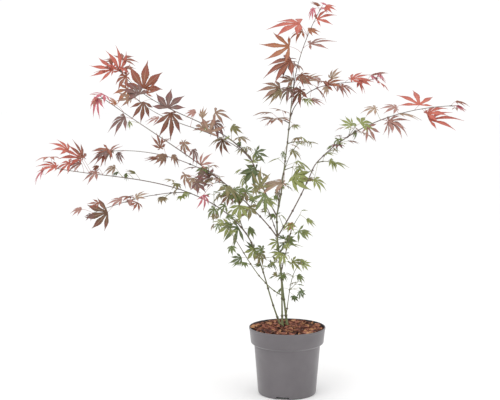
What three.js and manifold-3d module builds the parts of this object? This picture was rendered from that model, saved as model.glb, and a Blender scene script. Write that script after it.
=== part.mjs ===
// A young Japanese maple in a round nursery pot, in millimetres, +Z up.
// The origin is the middle of the pot's flat underside, on the ground.
// Stems, boughs and leaves all grow by one rule from the named sizes below.
import * as THREE from 'three';
import { mergeVertices } from 'three/addons/utils/BufferGeometryUtils.js';
import Module from 'manifold-3d';

const wasm = await Module();
wasm.setup();

const CLEARANCE = 0.3;

const POT = {
  height: 168,
  rimRadius: 95,
  collarRadius: 91,
  collarHeight: 39,
  shoulderHeight: 5,
  bodyRadius: 82.5,
  baseRadius: 73,
  footRadius: 70.5,
  edgeRise: 6,
  wall: 2.2,
  lipWall: 3,
  floorRise: 7,
  floorThickness: 2.4,
  skirtWidth: 3.5,
  discRadius: 30,
  discSlope: 4,
  drainRadius: 5,
  drainRing: 52,
  drains: 6,
  notches: 3,
  notchTurn: 259.5,
  notchWidth: 37,
  notchTopWidth: 31,
  notchHeight: 6.5,
  sides: 28,
};

const SOIL = { level: 168, patchRadius: 34, wallLevel: 164 };

// The blade is five pointed lobes around the end of its stalk, as shares of the middle lobe's length.
const BLADE = {
  lobes: [
    { turn: -92, reach: 0.66 },
    { turn: -44, reach: 0.9 },
    { turn: 0, reach: 1 },
    { turn: 44, reach: 0.9 },
    { turn: 92, reach: 0.66 },
  ],
  sinusReach: 0.34,
  heelReach: 0.16,
  sag: 0.22,
  thickness: 0.03,
};

// A twig stands in a leaf's place, longer than the leaf's stalk and with smaller leaves.
const TWIG = { share: 0.16, length: 1.25, leaf: 0.85, radius: 0.9 };
const SHOOT = { foot: 1.2, tip: 0.7, sides: 4, lastPair: 0.97, steep: 0.95, space: 130, least: 27 };
const STALK_RADIUS = 0.9;
const LIMB_SIDES = 6;
const STEP = 26;
const FLARE_LENGTH = 14;
// How far a surface may move, in mm, when flat facets are merged.
const SMOOTHING = { limb: 0.03, mass: 0.014 };

const COLOURS = {
  pot: 0x7d7a7d,
  soil: 0x6b4433,
  stem: 0x6f7a4a,
  bough: 0x6a5150,
  green: 0x6b7f4a,
  bronze: 0x8d6a55,
  rust: 0xa65a42,
  coral: 0xd9635a,
};

// One reach of a limb: it sets off on a heading and veers by its end, while its pitch eases
// from climb through cruise to settle, all in degrees, over its length.
const reach = (heading, veer, climb, cruise, settle, length) => (
  { heading, veer, climb, cruise, settle, length }
);

// Stems stand on the soil at a foot; every other limb leaves its carrier at a distance along it.
// A limb is bare up to where its leafy end begins, which is a mass of its own.
const LIMBS = {
  stem_leader: {
    foot: [0, 11, SOIL.level],
    reaches: [reach(202, 0, 82, 84, 83, 227), reach(130, 0, 88, 88, 88, 53), reach(0, 10, 78, 88, 82, 318)],
    radii: [3, 1.4],
    flare: 2.2,
  },
  stem_middle: {
    foot: [-12, 3, SOIL.level],
    reaches: [reach(250, 0, 86, 87, 86, 137), reach(-25, 0, 80, 77, 74, 95)],
    radii: [2.7, 1.3],
    flare: 1.8,
  },
  stem_left: {
    foot: [-16, 12, SOIL.level],
    reaches: [reach(160, 15, 66, 82, 59, 245)],
    radii: [2.3, 1.9],
    flare: 1.2,
  },
  stem_thin_left: {
    on: 'stem_leader', at: 76, bare: 216,
    reaches: [reach(203, 49, 28, 75, 24, 310)],
    radii: [1.6, 0.9],
  },
  stem_small_right: {
    on: 'stem_leader', at: 22, bare: 65,
    reaches: [reach(-40, 40, 78, 95, 54, 145)],
    radii: [1.5, 0.9],
  },
  bough_left: {
    on: 'stem_left', at: 245, bare: 193,
    reaches: [reach(178, 26, 54, -8, 14, 535)],
    radii: [1.8, 0.9],
  },
  bough_low_left: {
    on: 'bough_left', at: 176, bare: 122,
    reaches: [reach(222, -20, 9, -12, -18, 270)],
    radii: [1.3, 0.8],
  },
  bough_middle_left: {
    on: 'stem_leader', at: 227, bare: 240,
    reaches: [reach(214, -22, 50, 28, 36, 570)],
    radii: [1.9, 0.9],
  },
  bough_side_left: {
    on: 'bough_middle_left', at: 225, bare: 104,
    reaches: [reach(165, 20, 30, 15, -4, 275)],
    radii: [1.3, 0.8],
  },
  bough_upper_left: {
    on: 'stem_leader', at: 280, bare: 161,
    reaches: [reach(165, 0, 61, 67, 66, 155), reach(160, 10, 50, -9, 58, 420)],
    radii: [2, 0.9],
  },
  bough_right: {
    on: 'stem_leader', at: 227, bare: 298,
    reaches: [reach(-22, 10, 56, 66, 64, 205), reach(-12, 10, 50, 19, 2, 372)],
    radii: [2, 0.9],
  },
  bough_upper_right: {
    on: 'stem_leader', at: 517, bare: 103,
    reaches: [reach(40, -25, 76, -22, 14, 295)],
    radii: [1.5, 0.8],
  },
  bough_front: {
    on: 'stem_leader', at: 234, bare: 95,
    reaches: [reach(235, 20, 60, 50, 20, 190)],
    radii: [1.4, 0.9],
  },
  bough_back: {
    on: 'stem_leader', at: 289, bare: 120,
    reaches: [reach(80, -20, 62, 50, 20, 240)],
    radii: [1.4, 0.9],
  },
};

// A mass's stem is a limb's leafy end, or a short shoot of its own from a point on a limb.
// Pairs of leaves stand along it, each pair turned a quarter from the last, and one leaf ends it.
// Sizes, stalks and tints run from the stem's foot to its tip; front turns the blades to the front
// and droop lets them hang. A tint runs from 0, green, through bronze and rust to 1, coral.
const MASSES = {
  foliage_top: {
    on: 'stem_leader', at: 598, shoot: reach(-10, 20, 83, 69, 61, 205),
    pairs: 2, first: 0.04, turn: 90, size: [44, 24], stalk: [42, 22],
    front: 0.5, droop: -0.1, tint: [0.62, 0.95], seed: 4313,
  },
  foliage_upper_right: {
    end: 'bough_upper_right',
    pairs: 2, first: 0.08, turn: 30, size: [46, 29], stalk: [26, 16],
    front: 0.1, droop: 0, tint: [0.6, 0.98], seed: 4686,
  },
  foliage_right: {
    end: 'bough_right',
    pairs: 2, first: 0.05, turn: 0, size: [42, 30], stalk: [36, 14],
    front: 0.3, droop: -0.4, tint: [0.2, 0.95], seed: 4414,
  },
  foliage_upper_left: {
    end: 'bough_upper_left',
    pairs: 2, first: 0.04, turn: 165, size: [42, 46], stalk: [40, 28],
    front: 0.4, droop: -0.6, tint: [0.1, 0.9], seed: 1585,
  },
  foliage_upper_side: {
    on: 'bough_upper_left', at: 150, shoot: reach(205, -20, 50, -10, 45, 330),
    pairs: 2, first: 0.4, turn: 165, size: [55, 40], stalk: [32, 18],
    front: 0.7, droop: -0.6, tint: [0.45, 0.8], seed: 4567,
  },
  foliage_middle_left: {
    end: 'bough_middle_left',
    pairs: 2, first: 0.05, turn: 30, size: [36, 35], stalk: [40, 10],
    front: 0.2, droop: 0.1, tint: [0.25, 0.95], seed: 8509,
  },
  foliage_side_left: {
    end: 'bough_side_left',
    pairs: 2, first: 0.2, turn: 75, size: [32, 56], stalk: [32, 16],
    front: 0.3, droop: 0.1, tint: [0.4, 0.85], seed: 8199,
  },
  foliage_left: {
    end: 'bough_left',
    pairs: 2, first: 0.05, turn: 165, size: [28, 36], stalk: [38, 22],
    front: 0, droop: 0.6, tint: [0.3, 0.95], seed: 5807,
  },
  foliage_low_left: {
    end: 'bough_low_left',
    pairs: 1, first: 0.2, turn: 165, size: [30, 30], stalk: [30, 10],
    front: 0.1, droop: 0.2, tint: [0.75, 0.4], seed: 1718,
  },
  foliage_thin_left: {
    end: 'stem_thin_left',
    pairs: 3, first: 0.1, turn: 90, size: [22, 28], stalk: [30, 16],
    front: 0.3, droop: 0.6, tint: [0.05, 0.15], seed: 4175,
  },
  foliage_small_right: {
    end: 'stem_small_right',
    pairs: 2, first: 0.07, turn: 15, size: [29, 27], stalk: [22, 12],
    front: 0.4, droop: 0.7, tint: [0.05, 0.1], seed: 8805,
  },
  foliage_middle: {
    on: 'stem_middle', at: 232, shoot: reach(-10, 0, 74, 65, 55, 60),
    pairs: 1, first: 0.12, turn: 75, size: [30, 30], stalk: [30, 28],
    front: 0.3, droop: 0.8, tint: [0.02, 0.1], seed: 198,
  },
  foliage_front: {
    end: 'bough_front',
    pairs: 1, first: 0.1, turn: 105, size: [24, 41], stalk: [34, 12],
    front: 0.4, droop: 0.6, tint: [0.05, 0.35], seed: 2517,
  },
  foliage_back: {
    end: 'bough_back',
    pairs: 2, first: 0.13, turn: 120, size: [32, 30], stalk: [34, 24],
    front: 0.3, droop: 0.5, tint: [0.1, 0.3], seed: 1638,
  },
  foliage_low: {
    on: 'stem_leader', at: 185, shoot: reach(-60, 0, 40, 40, 30, 30),
    pairs: 1, first: 0.3, turn: 120, size: [38, 34], stalk: [26, 26],
    front: 0.4, droop: 0.8, tint: [0.02, 0.1], seed: 1740,
  },
  foliage_heart: {
    on: 'stem_leader', at: 395, shoot: reach(-20, 0, 20, 20, 20, 24),
    pairs: 1, first: 0.9, turn: 120, size: [58, 49], stalk: [26, 22],
    front: 0.5, droop: 0.5, tint: [0.02, 0.1], seed: 3500,
  },
  foliage_high: {
    on: 'stem_leader', at: 460, shoot: reach(-40, 0, 20, 10, 0, 40),
    pairs: 2, first: 0.4, turn: 135, size: [34, 28], stalk: [26, 22],
    front: 0, droop: 0.1, tint: [0.1, 0.2], seed: 998,
  },
  foliage_fork: {
    on: 'stem_leader', at: 511, shoot: reach(200, 0, 40, 10, 0, 30),
    pairs: 2, first: 0.4, turn: 120, size: [42, 40], stalk: [34, 26],
    front: 0.2, droop: 0.5, tint: [0.3, 0.5], seed: 5447,
  },
  foliage_whorl: {
    on: 'stem_leader', at: 588, shoot: reach(200, 0, 20, 10, 0, 26),
    pairs: 1, first: 0.4, turn: 135, size: [36, 34], stalk: [34, 22],
    front: 0.4, droop: 0.5, tint: [0.5, 0.6], seed: 2152,
  },
  foliage_elbow: {
    on: 'bough_left', at: 14, shoot: reach(120, 0, 60, 40, 20, 60),
    pairs: 1, first: 0.4, turn: 75, size: [43, 46], stalk: [34, 30],
    front: 0.5, droop: 0.8, tint: [0.02, 0.1], seed: 2622,
  },
  foliage_knee: {
    on: 'stem_left', at: 176, shoot: reach(-10, 0, 20, 10, 0, 26),
    pairs: 1, first: 0.4, turn: 75, size: [30, 36], stalk: [26, 22],
    front: 0.4, droop: 0.2, tint: [0.02, 0.1], seed: 2871,
  },
  foliage_arch: {
    on: 'bough_upper_left', at: 115, shoot: reach(150, 0, 20, 10, 0, 40),
    pairs: 1, first: 0.27, turn: 90, size: [46, 36], stalk: [26, 22],
    front: 0.4, droop: 0.2, tint: [0, 0.1], seed: 6685,
  },
  foliage_shoulder: {
    on: 'bough_middle_left', at: 148, shoot: reach(200, 0, 30, 10, 0, 40),
    pairs: 1, first: 0.27, turn: 0, size: [40, 47], stalk: [30, 30],
    front: 0.2, droop: 0.6, tint: [0.05, 0.15], seed: 7721,
  },
  foliage_wing: {
    on: 'bough_middle_left', at: 205, shoot: reach(230, 0, 20, 0, -10, 40),
    pairs: 1, first: 0.4, turn: 60, size: [44, 46], stalk: [38, 26],
    front: 0.2, droop: 0.8, tint: [0.3, 0.5], seed: 6090,
  },
  foliage_right_low: {
    on: 'bough_right', at: 214, shoot: reach(-10, 0, 20, 0, -10, 30),
    pairs: 1, first: 0.4, turn: 60, size: [37, 33], stalk: [30, 22],
    front: 0.4, droop: 0.2, tint: [0.05, 0.1], seed: 5965,
  },
};

// Large leaves that show whole from the front. The heart of each stands to the right of and above
// the node at a share of its mass's stem, in millimetres. Then come the way of its middle lobe,
// turned from the right towards up, and its length; how far the blade rolls about that lobe, where
// it isn't 46 degrees; and how far the lobe points away from the viewer. Those shorter than
// SHOOT.least are too fine for the solid, and their rows only keep the count.
const STARS = {
  foliage_top: [
    [0.64, -20, 27, 172, 72, 58],
    [0.63, -12, 12, 196, 38, 66],
    [0.6, 3, 20, 4, 30, 64],
    [0.8, 9, 8, 26, 44, 58],
    [0.48, 17, 10, 12, 60, 62],
    [0.42, -30, 15, 180, 66, 44],
    [0.24, -15, 17, 200, 74, 60],
    [0.22, -17, 15, 224, 50, 70],
    [1, -17, 0, 235, 28, 70],
    [0.95, 5, 8, 345, 26, 70],
  ],
  foliage_upper_right: [
    [0.52, 13, 8, 26, 46, 56],
    [0.66, 10, 2, 12, 34, 64],
    [0.62, 15, 0, 330, 32, 60],
    [0.32, 13, -3, 332, 40, 62],
    [0.15, 13, 3, 32, 44, 58],
    [0.13, 13, 3, 280, 26, 56],
    [0.22, 15, 16, 75, 36, 40],
    [0, -3, -23, 355, 36, 66],
    [0.85, 10, 12, 345, 30, 74],
    [0, -18, 23, 22, 46, 56],
    [0.1, 8, 20, 150, 28, 60],
    [0.42, 8, -6, 350, 36, 70],
  ],
  foliage_right: [
    [0.66, 12, 12, 90, 62, 0, 1.3],
    [0.75, 10, -28, 18, 72, 62],
    [0.72, 15, -13, 42, 46, 68],
    [0.52, -5, 15, 165, 38, 58],
    [0.36, 18, -3, 8, 52, 62],
    [0.38, 18, -8, 345, 50, 58],
    [0.4, 5, -8, 282, 38, 50],
    [0.18, 15, 5, 302, 44, 34],
    [0.36, -15, 28, 180, 36, 60],
    [0.06, 12, 12, 315, 28],
    [0.97, 12, 0, 345, 24, 64],
    [0, -14, 2, 265, 36, 50],
    [0.5, 5, 2, 4, 56, 76],
  ],
  foliage_upper_left: [
    [0.97, -6, 2, 84, 58, 48],
    [0.93, -30, 20, 168, 58, 42],
    [0.86, -14, 22, 190, 42],
    [0.88, 32, -14, 84, 66, 30],
    [0.75, 0, 6, 60, 40, 50],
    [0.82, -25, 0, 228, 44, 30],
    [0.7, -25, -3, 265, 54, 35],
    [0.55, -16, 8, 90, 56, 0, 0.3],
    [0.52, -22, 2, 275, 70, 38],
    [0.22, -22, 30, 320, 52],
    [0.3, 10, 38, 355, 48, 58],
    [0.35, -3, 15, 95, 30, 40],
    [0.16, -18, 0, 250, 42, 50],
    [0.26, -22, 10, 190, 30, 60],
    [0.15, 0, 35, 328, 34, 60],
    [0, 15, 12, 350, 42, 48],
    [0.06, -8, 20, 275, 24, 60],
  ],
  foliage_upper_side: [
    [0.7, -28, 5, 178, 34, 65],
    [0.55, 15, 35, 170, 28, 60],
  ],
  foliage_middle_left: [
    [0.97, -12, 0, 240, 42],
    [0.72, -15, 5, 210, 54, 58],
    [0.45, -8, -18, 95, 36, 60],
    [0.35, 18, 12, 278, 34, 62],
    [0.28, 22, 10, 300, 40, 60],
    [0.66, -20, 5, 225, 20],
    [0.8, -16, 18, 130, 26, 65],
    [0.05, -18, 14, 60, 38],
    [0.02, -22, 16, 283, 34, 28],
  ],
  foliage_side_left: [
    [0.85, -20, -3, 200, 44, 74],
    [0.78, -14, -3, 262, 32, 50],
    [0.97, -10, 0, 192, 42, 66],
    [0.2, -8, 8, 268, 34],
    [0.08, -5, 10, 305, 34, 58],
  ],
  foliage_left: [
    [0.88, -16, 8, 168, 46, 66],
    [0.8, -14, 52, 152, 42, 72],
    [0.7, -22, 36, 148, 54, 72],
    [0.68, -20, 42, 120, 44, 66],
    [0.74, -5, 22, 180, 44, 66],
    [0.78, -20, 22, 186, 42, 64],
    [0.6, -15, 25, 270, 20],
    [0.6, -15, 8, 206, 40, 60],
    [0.46, -15, 25, 186, 36, 66],
    [0.45, -15, 12, 190, 22, 60],
    [0.38, -18, 15, 265, 22],
    [0.33, -12, 15, 140, 28, 60],
  ],
  foliage_low_left: [
    [0.64, -14, -16, 196, 66, 22, -0.25],
    [0.3, -12, 0, 268, 28],
    [0.38, -15, 3, 186, 36, 62],
    [0.3, 10, 8, 34, 32, 62],
    [0.8, -10, 15, 172, 26, 60],
    [1, -24, 10, 178, 28, 66],
  ],
  foliage_whorl: [
    [0.8, -12, 5, 180, 58, 58],
    [0.7, -12, 0, 208, 54, 68],
    [0.1, 0, 25, 148, 38, 50],
    [0.3, 3, 10, 222, 50, 60],
    [0, 20, 5, 234, 48, 50],
    [0, 17, 25, 62, 34, 30, 0.5],
  ],
  foliage_heart: [
    [1, -4, -27, 350, 66, 14, -0.25],
    [0, -1, -32, 190, 76, 88],
  ],
  foliage_high: [
    [0, -7, -20, 230, 24],
  ],
  foliage_back: [
    [0.5, 3, 10, 325, 36, 66],
  ],
  foliage_front: [
    [1, 12, 2, 92, 48, 50],
    [0.9, 20, -10, 242, 58, 24],
    [0.5, 8, -12, 350, 40, 55],
  ],
  foliage_arch: [
    [0, -5, 8, 228, 52, 22],
    [0, -2, 12, 180, 50, 58],
  ],
  foliage_shoulder: [
    [0, -2, -17, 266, 46, 8],
    [0, 20, -22, 280, 40, 34],
    [0.5, -8, 15, 180, 38, 55],
    [0.4, -4, 16, 328, 40, 42],
    [0.5, -10, 0, 230, 32, 40],
    [0, 14, 8, 200, 46, 66],
    [1, 0, -25, 205, 38, 48],
  ],
  foliage_wing: [
    [1, -23, -26, 285, 38, 42],
    [1, -49, 12, 266, 48, 40],
    [1, -40, 5, 322, 34, 50],
    [1, -66, 22, 250, 34],
  ],
  foliage_elbow: [
    [0.2, -8, -2, 218, 62, 38],
    [0.3, -22, 0, 165, 30, 55],
    [1, -50, 10, 225, 40, 42],
    [0, 12, 5, 340, 34, 60],
  ],
  foliage_knee: [
    [0, -42, 5, 205, 40, 56],
    [0, -10, 25, 235, 38, 26],
    [0, 2, 20, 300, 40, 40],
    [0, -12, 22, 130, 32, 40],
  ],
  foliage_low: [
    [0, -2, 30, 195, 34, 40],
    [0, 5, 3, 183, 34, 56],
  ],
  foliage_middle: [
    [0, -15, -17, 270, 36],
    [0, -8, -10, 2, 32, 50],
    [0.5, -5, 10, 262, 32, 24],
    [0.3, 15, 0, 318, 36, 26],
    [1, 15, -10, 332, 32, 64],
  ],
  foliage_small_right: [
    [0.9, -15, 8, 345, 40, 54],
    [0.1, 24, -2, 300, 26, 28],
    [0, 12, -5, 265, 22, 30],
    [0.5, 10, 2, 332, 28, 54],
    [0.5, -20, 10, 180, 30, 50],
  ],
  foliage_right_low: [
    [0.8, 5, 5, 320, 36, 60],
    [0, -10, -41, 328, 42, 53],
  ],
};

const UP = new THREE.Vector3(0, 0, 1);
const FRONT = new THREE.Vector3(0, -1, 0);
const radians = THREE.MathUtils.degToRad;
const mix = THREE.MathUtils.lerp;

// A repeatable value from 0 to 1 for each seed and each use of it.
function chance(seed, use) {
  const wave = Math.sin(seed * 12.9898 + use * 78.233) * 43758.5453;
  return wave - Math.floor(wave);
}

function swing(seed, use, most) {
  return (2 * chance(seed, use) - 1) * most;
}

// The sum of vectors, each given as [vector, share], at length one.
function blend(...terms) {
  const sum = new THREE.Vector3();
  for (const [vector, share] of terms) {
    sum.addScaledVector(vector, share);
  }
  return sum.normalize();
}

function centreLine(foot, reaches) {
  const points = [foot.clone()];
  for (const { heading, veer, climb, cruise, settle, length } of reaches) {
    const steps = Math.ceil(length / STEP);
    for (let i = 0; i < steps; i += 1) {
      const u = (i + 0.5) / steps;
      const pitch = radians(climb * (1 - u) ** 2 + 2 * cruise * u * (1 - u) + settle * u ** 2);
      const turn = radians(heading + veer * u);
      const level = Math.cos(pitch);
      const step = new THREE.Vector3(level * Math.cos(turn), level * Math.sin(turn), Math.sin(pitch));
      points.push(points.at(-1).clone().addScaledVector(step, length / steps));
    }
  }
  return points;
}

function lengthOf(line) {
  let total = 0;
  for (let i = 1; i < line.length; i += 1) {
    total += line[i].distanceTo(line[i - 1]);
  }
  return total;
}

// The point at a distance along a line, and the way ahead there.
function place(line, distance) {
  let left = distance;
  let i = 1;
  let span = line[1].distanceTo(line[0]);
  while (left > span && i < line.length - 1) {
    left -= span;
    i += 1;
    span = line[i].distanceTo(line[i - 1]);
  }
  const ahead = line[i].clone().sub(line[i - 1]).normalize();
  return { point: line[i - 1].clone().addScaledVector(ahead, left), ahead };
}

function stretch(line, from, to) {
  const points = [place(line, from).point];
  let run = 0;
  for (let i = 1; i < line.length; i += 1) {
    run += line[i].distanceTo(line[i - 1]);
    if (run > from + 1 && run < to - 1) {
      points.push(line[i].clone());
    }
  }
  points.push(place(line, to).point);
  return points;
}

// A closed geometry as a solid; the empty triangles at a lathe's poles are left out.
function solidOf(geometry) {
  geometry.deleteAttribute('normal');
  geometry.deleteAttribute('uv');
  const merged = mergeVertices(geometry);
  const corners = merged.index.array;
  const kept = [];
  for (let i = 0; i < corners.length; i += 3) {
    const [a, b, c] = corners.slice(i, i + 3);
    if (a !== b && b !== c && c !== a) {
      kept.push(a, b, c);
    }
  }
  return new wasm.Manifold(new wasm.Mesh({
    numProp: 3,
    vertProperties: Float32Array.from(merged.attributes.position.array),
    triVerts: Uint32Array.from(kept),
  }));
}

function geometryOf(solid) {
  const mesh = solid.getMesh();
  const geometry = new THREE.BufferGeometry();
  geometry.setAttribute('position', new THREE.BufferAttribute(mesh.vertProperties, 3));
  geometry.setIndex(new THREE.BufferAttribute(mesh.triVerts, 1));
  geometry.computeVertexNormals();
  return geometry;
}

// The one body that a join or cut leaves, without loose scraps.
function mainBody(solid) {
  return solid.decompose().sort((a, b) => b.volume() - a.volume())[0];
}

// A tapering tube: the rings of a closed cylinder, moved onto a line of points.
function tube(line, radiusAt, sides) {
  const rings = line.length - 1;
  const curve = new THREE.CatmullRomCurve3(line, false, 'centripetal');
  const { normals, binormals } = curve.computeFrenetFrames(rings, false);
  const geometry = new THREE.CylinderGeometry(1, 1, 1, sides, rings);
  const position = geometry.attributes.position;
  const length = lengthOf(line);
  const moved = new THREE.Vector3();
  for (let i = 0; i < position.count; i += 1) {
    const ring = Math.round((position.getY(i) + 0.5) * rings);
    const radius = radiusAt((ring / rings) * length);
    moved.copy(curve.getPointAt(ring / rings));
    moved.addScaledVector(normals[ring], position.getX(i) * radius);
    moved.addScaledVector(binormals[ring], -position.getZ(i) * radius);
    position.setXYZ(i, moved.x, moved.y, moved.z);
  }
  return geometry;
}

// The blade's outline from one side lobe round to the other, as turns and reaches from its heart.
function bladeRim() {
  const rim = [];
  BLADE.lobes.forEach((lobe, i) => {
    if (i > 0) {
      rim.push({ turn: (lobe.turn + BLADE.lobes[i - 1].turn) / 2, reach: BLADE.sinusReach });
    }
    rim.push(lobe);
  });
  return rim;
}

// A leaf in one piece: a low crown over its blade and under it, and a three-sided stalk that
// joins the blade in a ring at its heel. Extra thickness tests for room round the leaf.
function leafSolid(leaf, extra) {
  const across = leaf.face.clone().cross(leaf.ahead);
  const outline = (turn, far) => leaf.heart.clone()
    .addScaledVector(leaf.ahead, Math.cos(radians(turn)) * far * leaf.size)
    .addScaledVector(across, Math.sin(radians(turn)) * far * leaf.size)
    .addScaledVector(leaf.face, -BLADE.sag * far ** 2 * leaf.size);
  const points = bladeRim().map((end) => outline(end.turn, end.reach));
  const half = (BLADE.thickness * leaf.size) / 2 + extra;
  const last = points.length - 1;
  const [top, under, ring, foot] = [last + 1, last + 2, last + 3, last + 6];
  points.push(leaf.heart.clone().addScaledVector(leaf.face, half));
  points.push(leaf.heart.clone().addScaledVector(leaf.face, -half));

  const heel = outline(180, BLADE.heelReach);
  const back = blend([leaf.root, 1], [heel, -1]);
  const mitre = blend([back, 1], [leaf.ahead, -1]);
  const wide = blend([across, 1], [mitre, -across.dot(mitre)]);
  const high = wide.clone().cross(mitre);
  for (const end of [heel, leaf.root]) {
    for (const turn of [210, 90, -30]) {
      points.push(end.clone()
        .addScaledVector(wide, -Math.cos(radians(turn)) * (STALK_RADIUS + extra))
        .addScaledVector(high, Math.sin(radians(turn)) * (STALK_RADIUS + extra)));
    }
  }

  const faces = [top, last, ring, top, ring + 2, 0, under, ring, last, under, 0, ring + 2];
  for (let i = 0; i < last; i += 1) {
    faces.push(top, i, i + 1, under, i + 1, i);
  }
  for (const [i, next] of [[0, 1], [1, 2], [2, 0]]) {
    faces.push(next < i ? under : top, ring + i, ring + next);
    faces.push(ring + next, ring + i, foot + i, ring + next, foot + i, foot + next);
  }
  faces.push(foot, foot + 2, foot + 1);
  const geometry = new THREE.BufferGeometry().setFromPoints(points);
  geometry.setIndex(faces);
  return solidOf(geometry);
}

function twigSolid(line, extra) {
  return solidOf(tube(line, () => TWIG.radius + extra, 3));
}

// A leaf on its stalk, from a node on a shoot; u is how far along the shoot that is.
function leafAt(node, way, side, mass, u, seed) {
  const size = mix(...mass.size, u) * (1 + swing(seed, 1, 0.2));
  const stalk = mix(...mass.stalk, u) * (1 + swing(seed, 2, 0.2));
  const jitter = new THREE.Vector3(swing(seed, 3, 0.4), swing(seed, 4, 0.4), swing(seed, 5, 0.4));
  const out = blend([side, 1], [way, 0.55], [UP, 0.25], [jitter, 1]);
  const bowed = blend([out, 1], [UP, -0.35]);
  const heart = node.clone().addScaledVector(out, stalk * 0.55).addScaledVector(bowed, stalk * 0.45);
  const turned = mass.front + swing(seed, 6, 0.35);
  const lean = new THREE.Vector3(swing(seed, 7, 0.5), 0, 0);
  const face = blend([UP, 1 - turned], [FRONT, turned], [out, 0.25], [lean, 1]);
  const hang = blend([bowed, 1], [UP, -mass.droop]);
  const ahead = hang.addScaledVector(face, -hang.dot(face)).normalize();
  ahead.applyAxisAngle(face, radians(swing(seed, 9, 35)));
  const tint = mix(...mass.tint, u) + swing(seed, 10, 0.09);
  return { root: node, heart, ahead, face, size, tint };
}

// One of the large leaves that show whole from the front, on its stalk.
function starAt(line, star, seed) {
  const [at, right, up, turn, size, roll = 46, pitch = 0] = star;
  const { point: node } = place(line, at * lengthOf(line));
  const heart = node.clone().add(new THREE.Vector3(right, swing(seed, 1, 18) - 6, up));
  const rolled = radians(roll + swing(seed, 7, 10));
  const way = new THREE.Vector3(Math.cos(radians(turn)), 0, Math.sin(radians(turn)));
  const side = way.clone().cross(FRONT);
  if (side.z + swing(seed, 8, 0.4) < 0) {
    side.negate();
  }
  const leant = pitch + swing(seed, 9, 0.2);
  const face = blend([FRONT, Math.cos(rolled)], [side, Math.sin(rolled)], [way, leant]);
  const ahead = way.clone().addScaledVector(face, -way.dot(face)).normalize();
  return { root: node, heart, ahead, face, size };
}

// A shoot's leaves and twigs. By its seed, a node now and then bears a twig in place of a leaf.
function growShoot(line, mass, seed, young) {
  const grown = { twigs: [], leaves: [] };
  const total = lengthOf(line);
  for (let k = 0; k < mass.pairs; k += 1) {
    const u = mass.first + (SHOOT.lastPair - mass.first) * (k / Math.max(1, mass.pairs - 1));
    const { point, ahead } = place(line, u * total);
    const steep = Math.abs(ahead.z) > SHOOT.steep;
    const across = steep ? new THREE.Vector3(1, 0, 0) : ahead.clone().cross(UP).normalize();
    const over = across.clone().cross(ahead);
    const turn = radians(mass.turn + 90 * k + swing(seed, 20 + k, 25));
    for (const sign of [1, -1]) {
      const key = seed + 0.37 * k + 0.11 * sign;
      const side = across.clone().multiplyScalar(sign * Math.cos(turn));
      side.addScaledVector(over, 0.6 * sign * Math.sin(turn));
      if (!young && k < mass.pairs - 1 && chance(key, 11) < TWIG.share) {
        const way = blend([side, 1], [ahead, 0.9], [UP, 0.2]);
        const twig = [point, point.clone().addScaledVector(way, mix(...mass.stalk, u) * TWIG.length)];
        const sizes = mix(...mass.size, u) * TWIG.leaf;
        const tint = mix(...mass.tint, u);
        const alike = { size: [sizes, sizes], tint: [tint, tint] };
        const bearing = { ...mass, pairs: 1, first: SHOOT.lastPair, ...alike };
        const more = growShoot(twig, bearing, key + 3, true);
        grown.twigs.push(twig);
        grown.leaves.push(...more.leaves);
      } else {
        grown.leaves.push(leafAt(point, ahead, side, mass, u, key));
      }
    }
  }
  const { point, ahead } = place(line, total);
  const last = { ...mass, size: [0, mass.size[1] * 0.6], stalk: [0, mass.stalk[1] * 0.5] };
  grown.leaves.push(leafAt(point, ahead, ahead, last, 1, seed + 5.1));
  return grown;
}

// The pot's inside from the middle of its floor up to its rim, as [radius, height], set in by a gap.
function potInside(gap) {
  const shoulder = POT.height - POT.collarHeight;
  const low = POT.floorThickness + gap;
  const high = POT.floorRise + POT.floorThickness + gap;
  return [
    [0, low],
    [POT.discRadius - gap, low],
    [POT.discRadius + POT.discSlope - gap, high],
    [POT.baseRadius - POT.wall - gap, high],
    [POT.bodyRadius - POT.wall - gap, shoulder - POT.shoulderHeight + gap],
    [POT.collarRadius - POT.wall - gap, shoulder + gap],
    [POT.rimRadius - POT.lipWall - gap, POT.height],
  ];
}

function lathe(profile) {
  const points = profile.map(([radius, height]) => new THREE.Vector2(radius, height));
  return new THREE.LatheGeometry(points, POT.sides).rotateX(Math.PI / 2);
}

// A way for water under the foot, wider at the ground than at its top.
function notch(turn) {
  const outline = new THREE.Shape();
  outline.moveTo(-POT.notchWidth / 2, -1);
  outline.lineTo(POT.notchWidth / 2, -1);
  outline.lineTo(POT.notchTopWidth / 2, POT.notchHeight);
  outline.lineTo(-POT.notchTopWidth / 2, POT.notchHeight);
  const depth = 4 * POT.skirtWidth;
  const geometry = new THREE.ExtrudeGeometry(outline, { depth, bevelEnabled: false });
  geometry.rotateX(Math.PI / 2);
  geometry.translate(0, POT.footRadius + depth / 2, 0);
  return solidOf(geometry.rotateZ(radians(turn - 90)));
}

function drain(turn) {
  const depth = 4 * POT.floorThickness;
  const geometry = new THREE.CylinderGeometry(POT.drainRadius, POT.drainRadius, depth, 8);
  geometry.rotateX(Math.PI / 2);
  geometry.translate(POT.drainRing, 0, POT.floorRise + POT.floorThickness / 2);
  return solidOf(geometry.rotateZ(radians(turn)));
}

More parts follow.
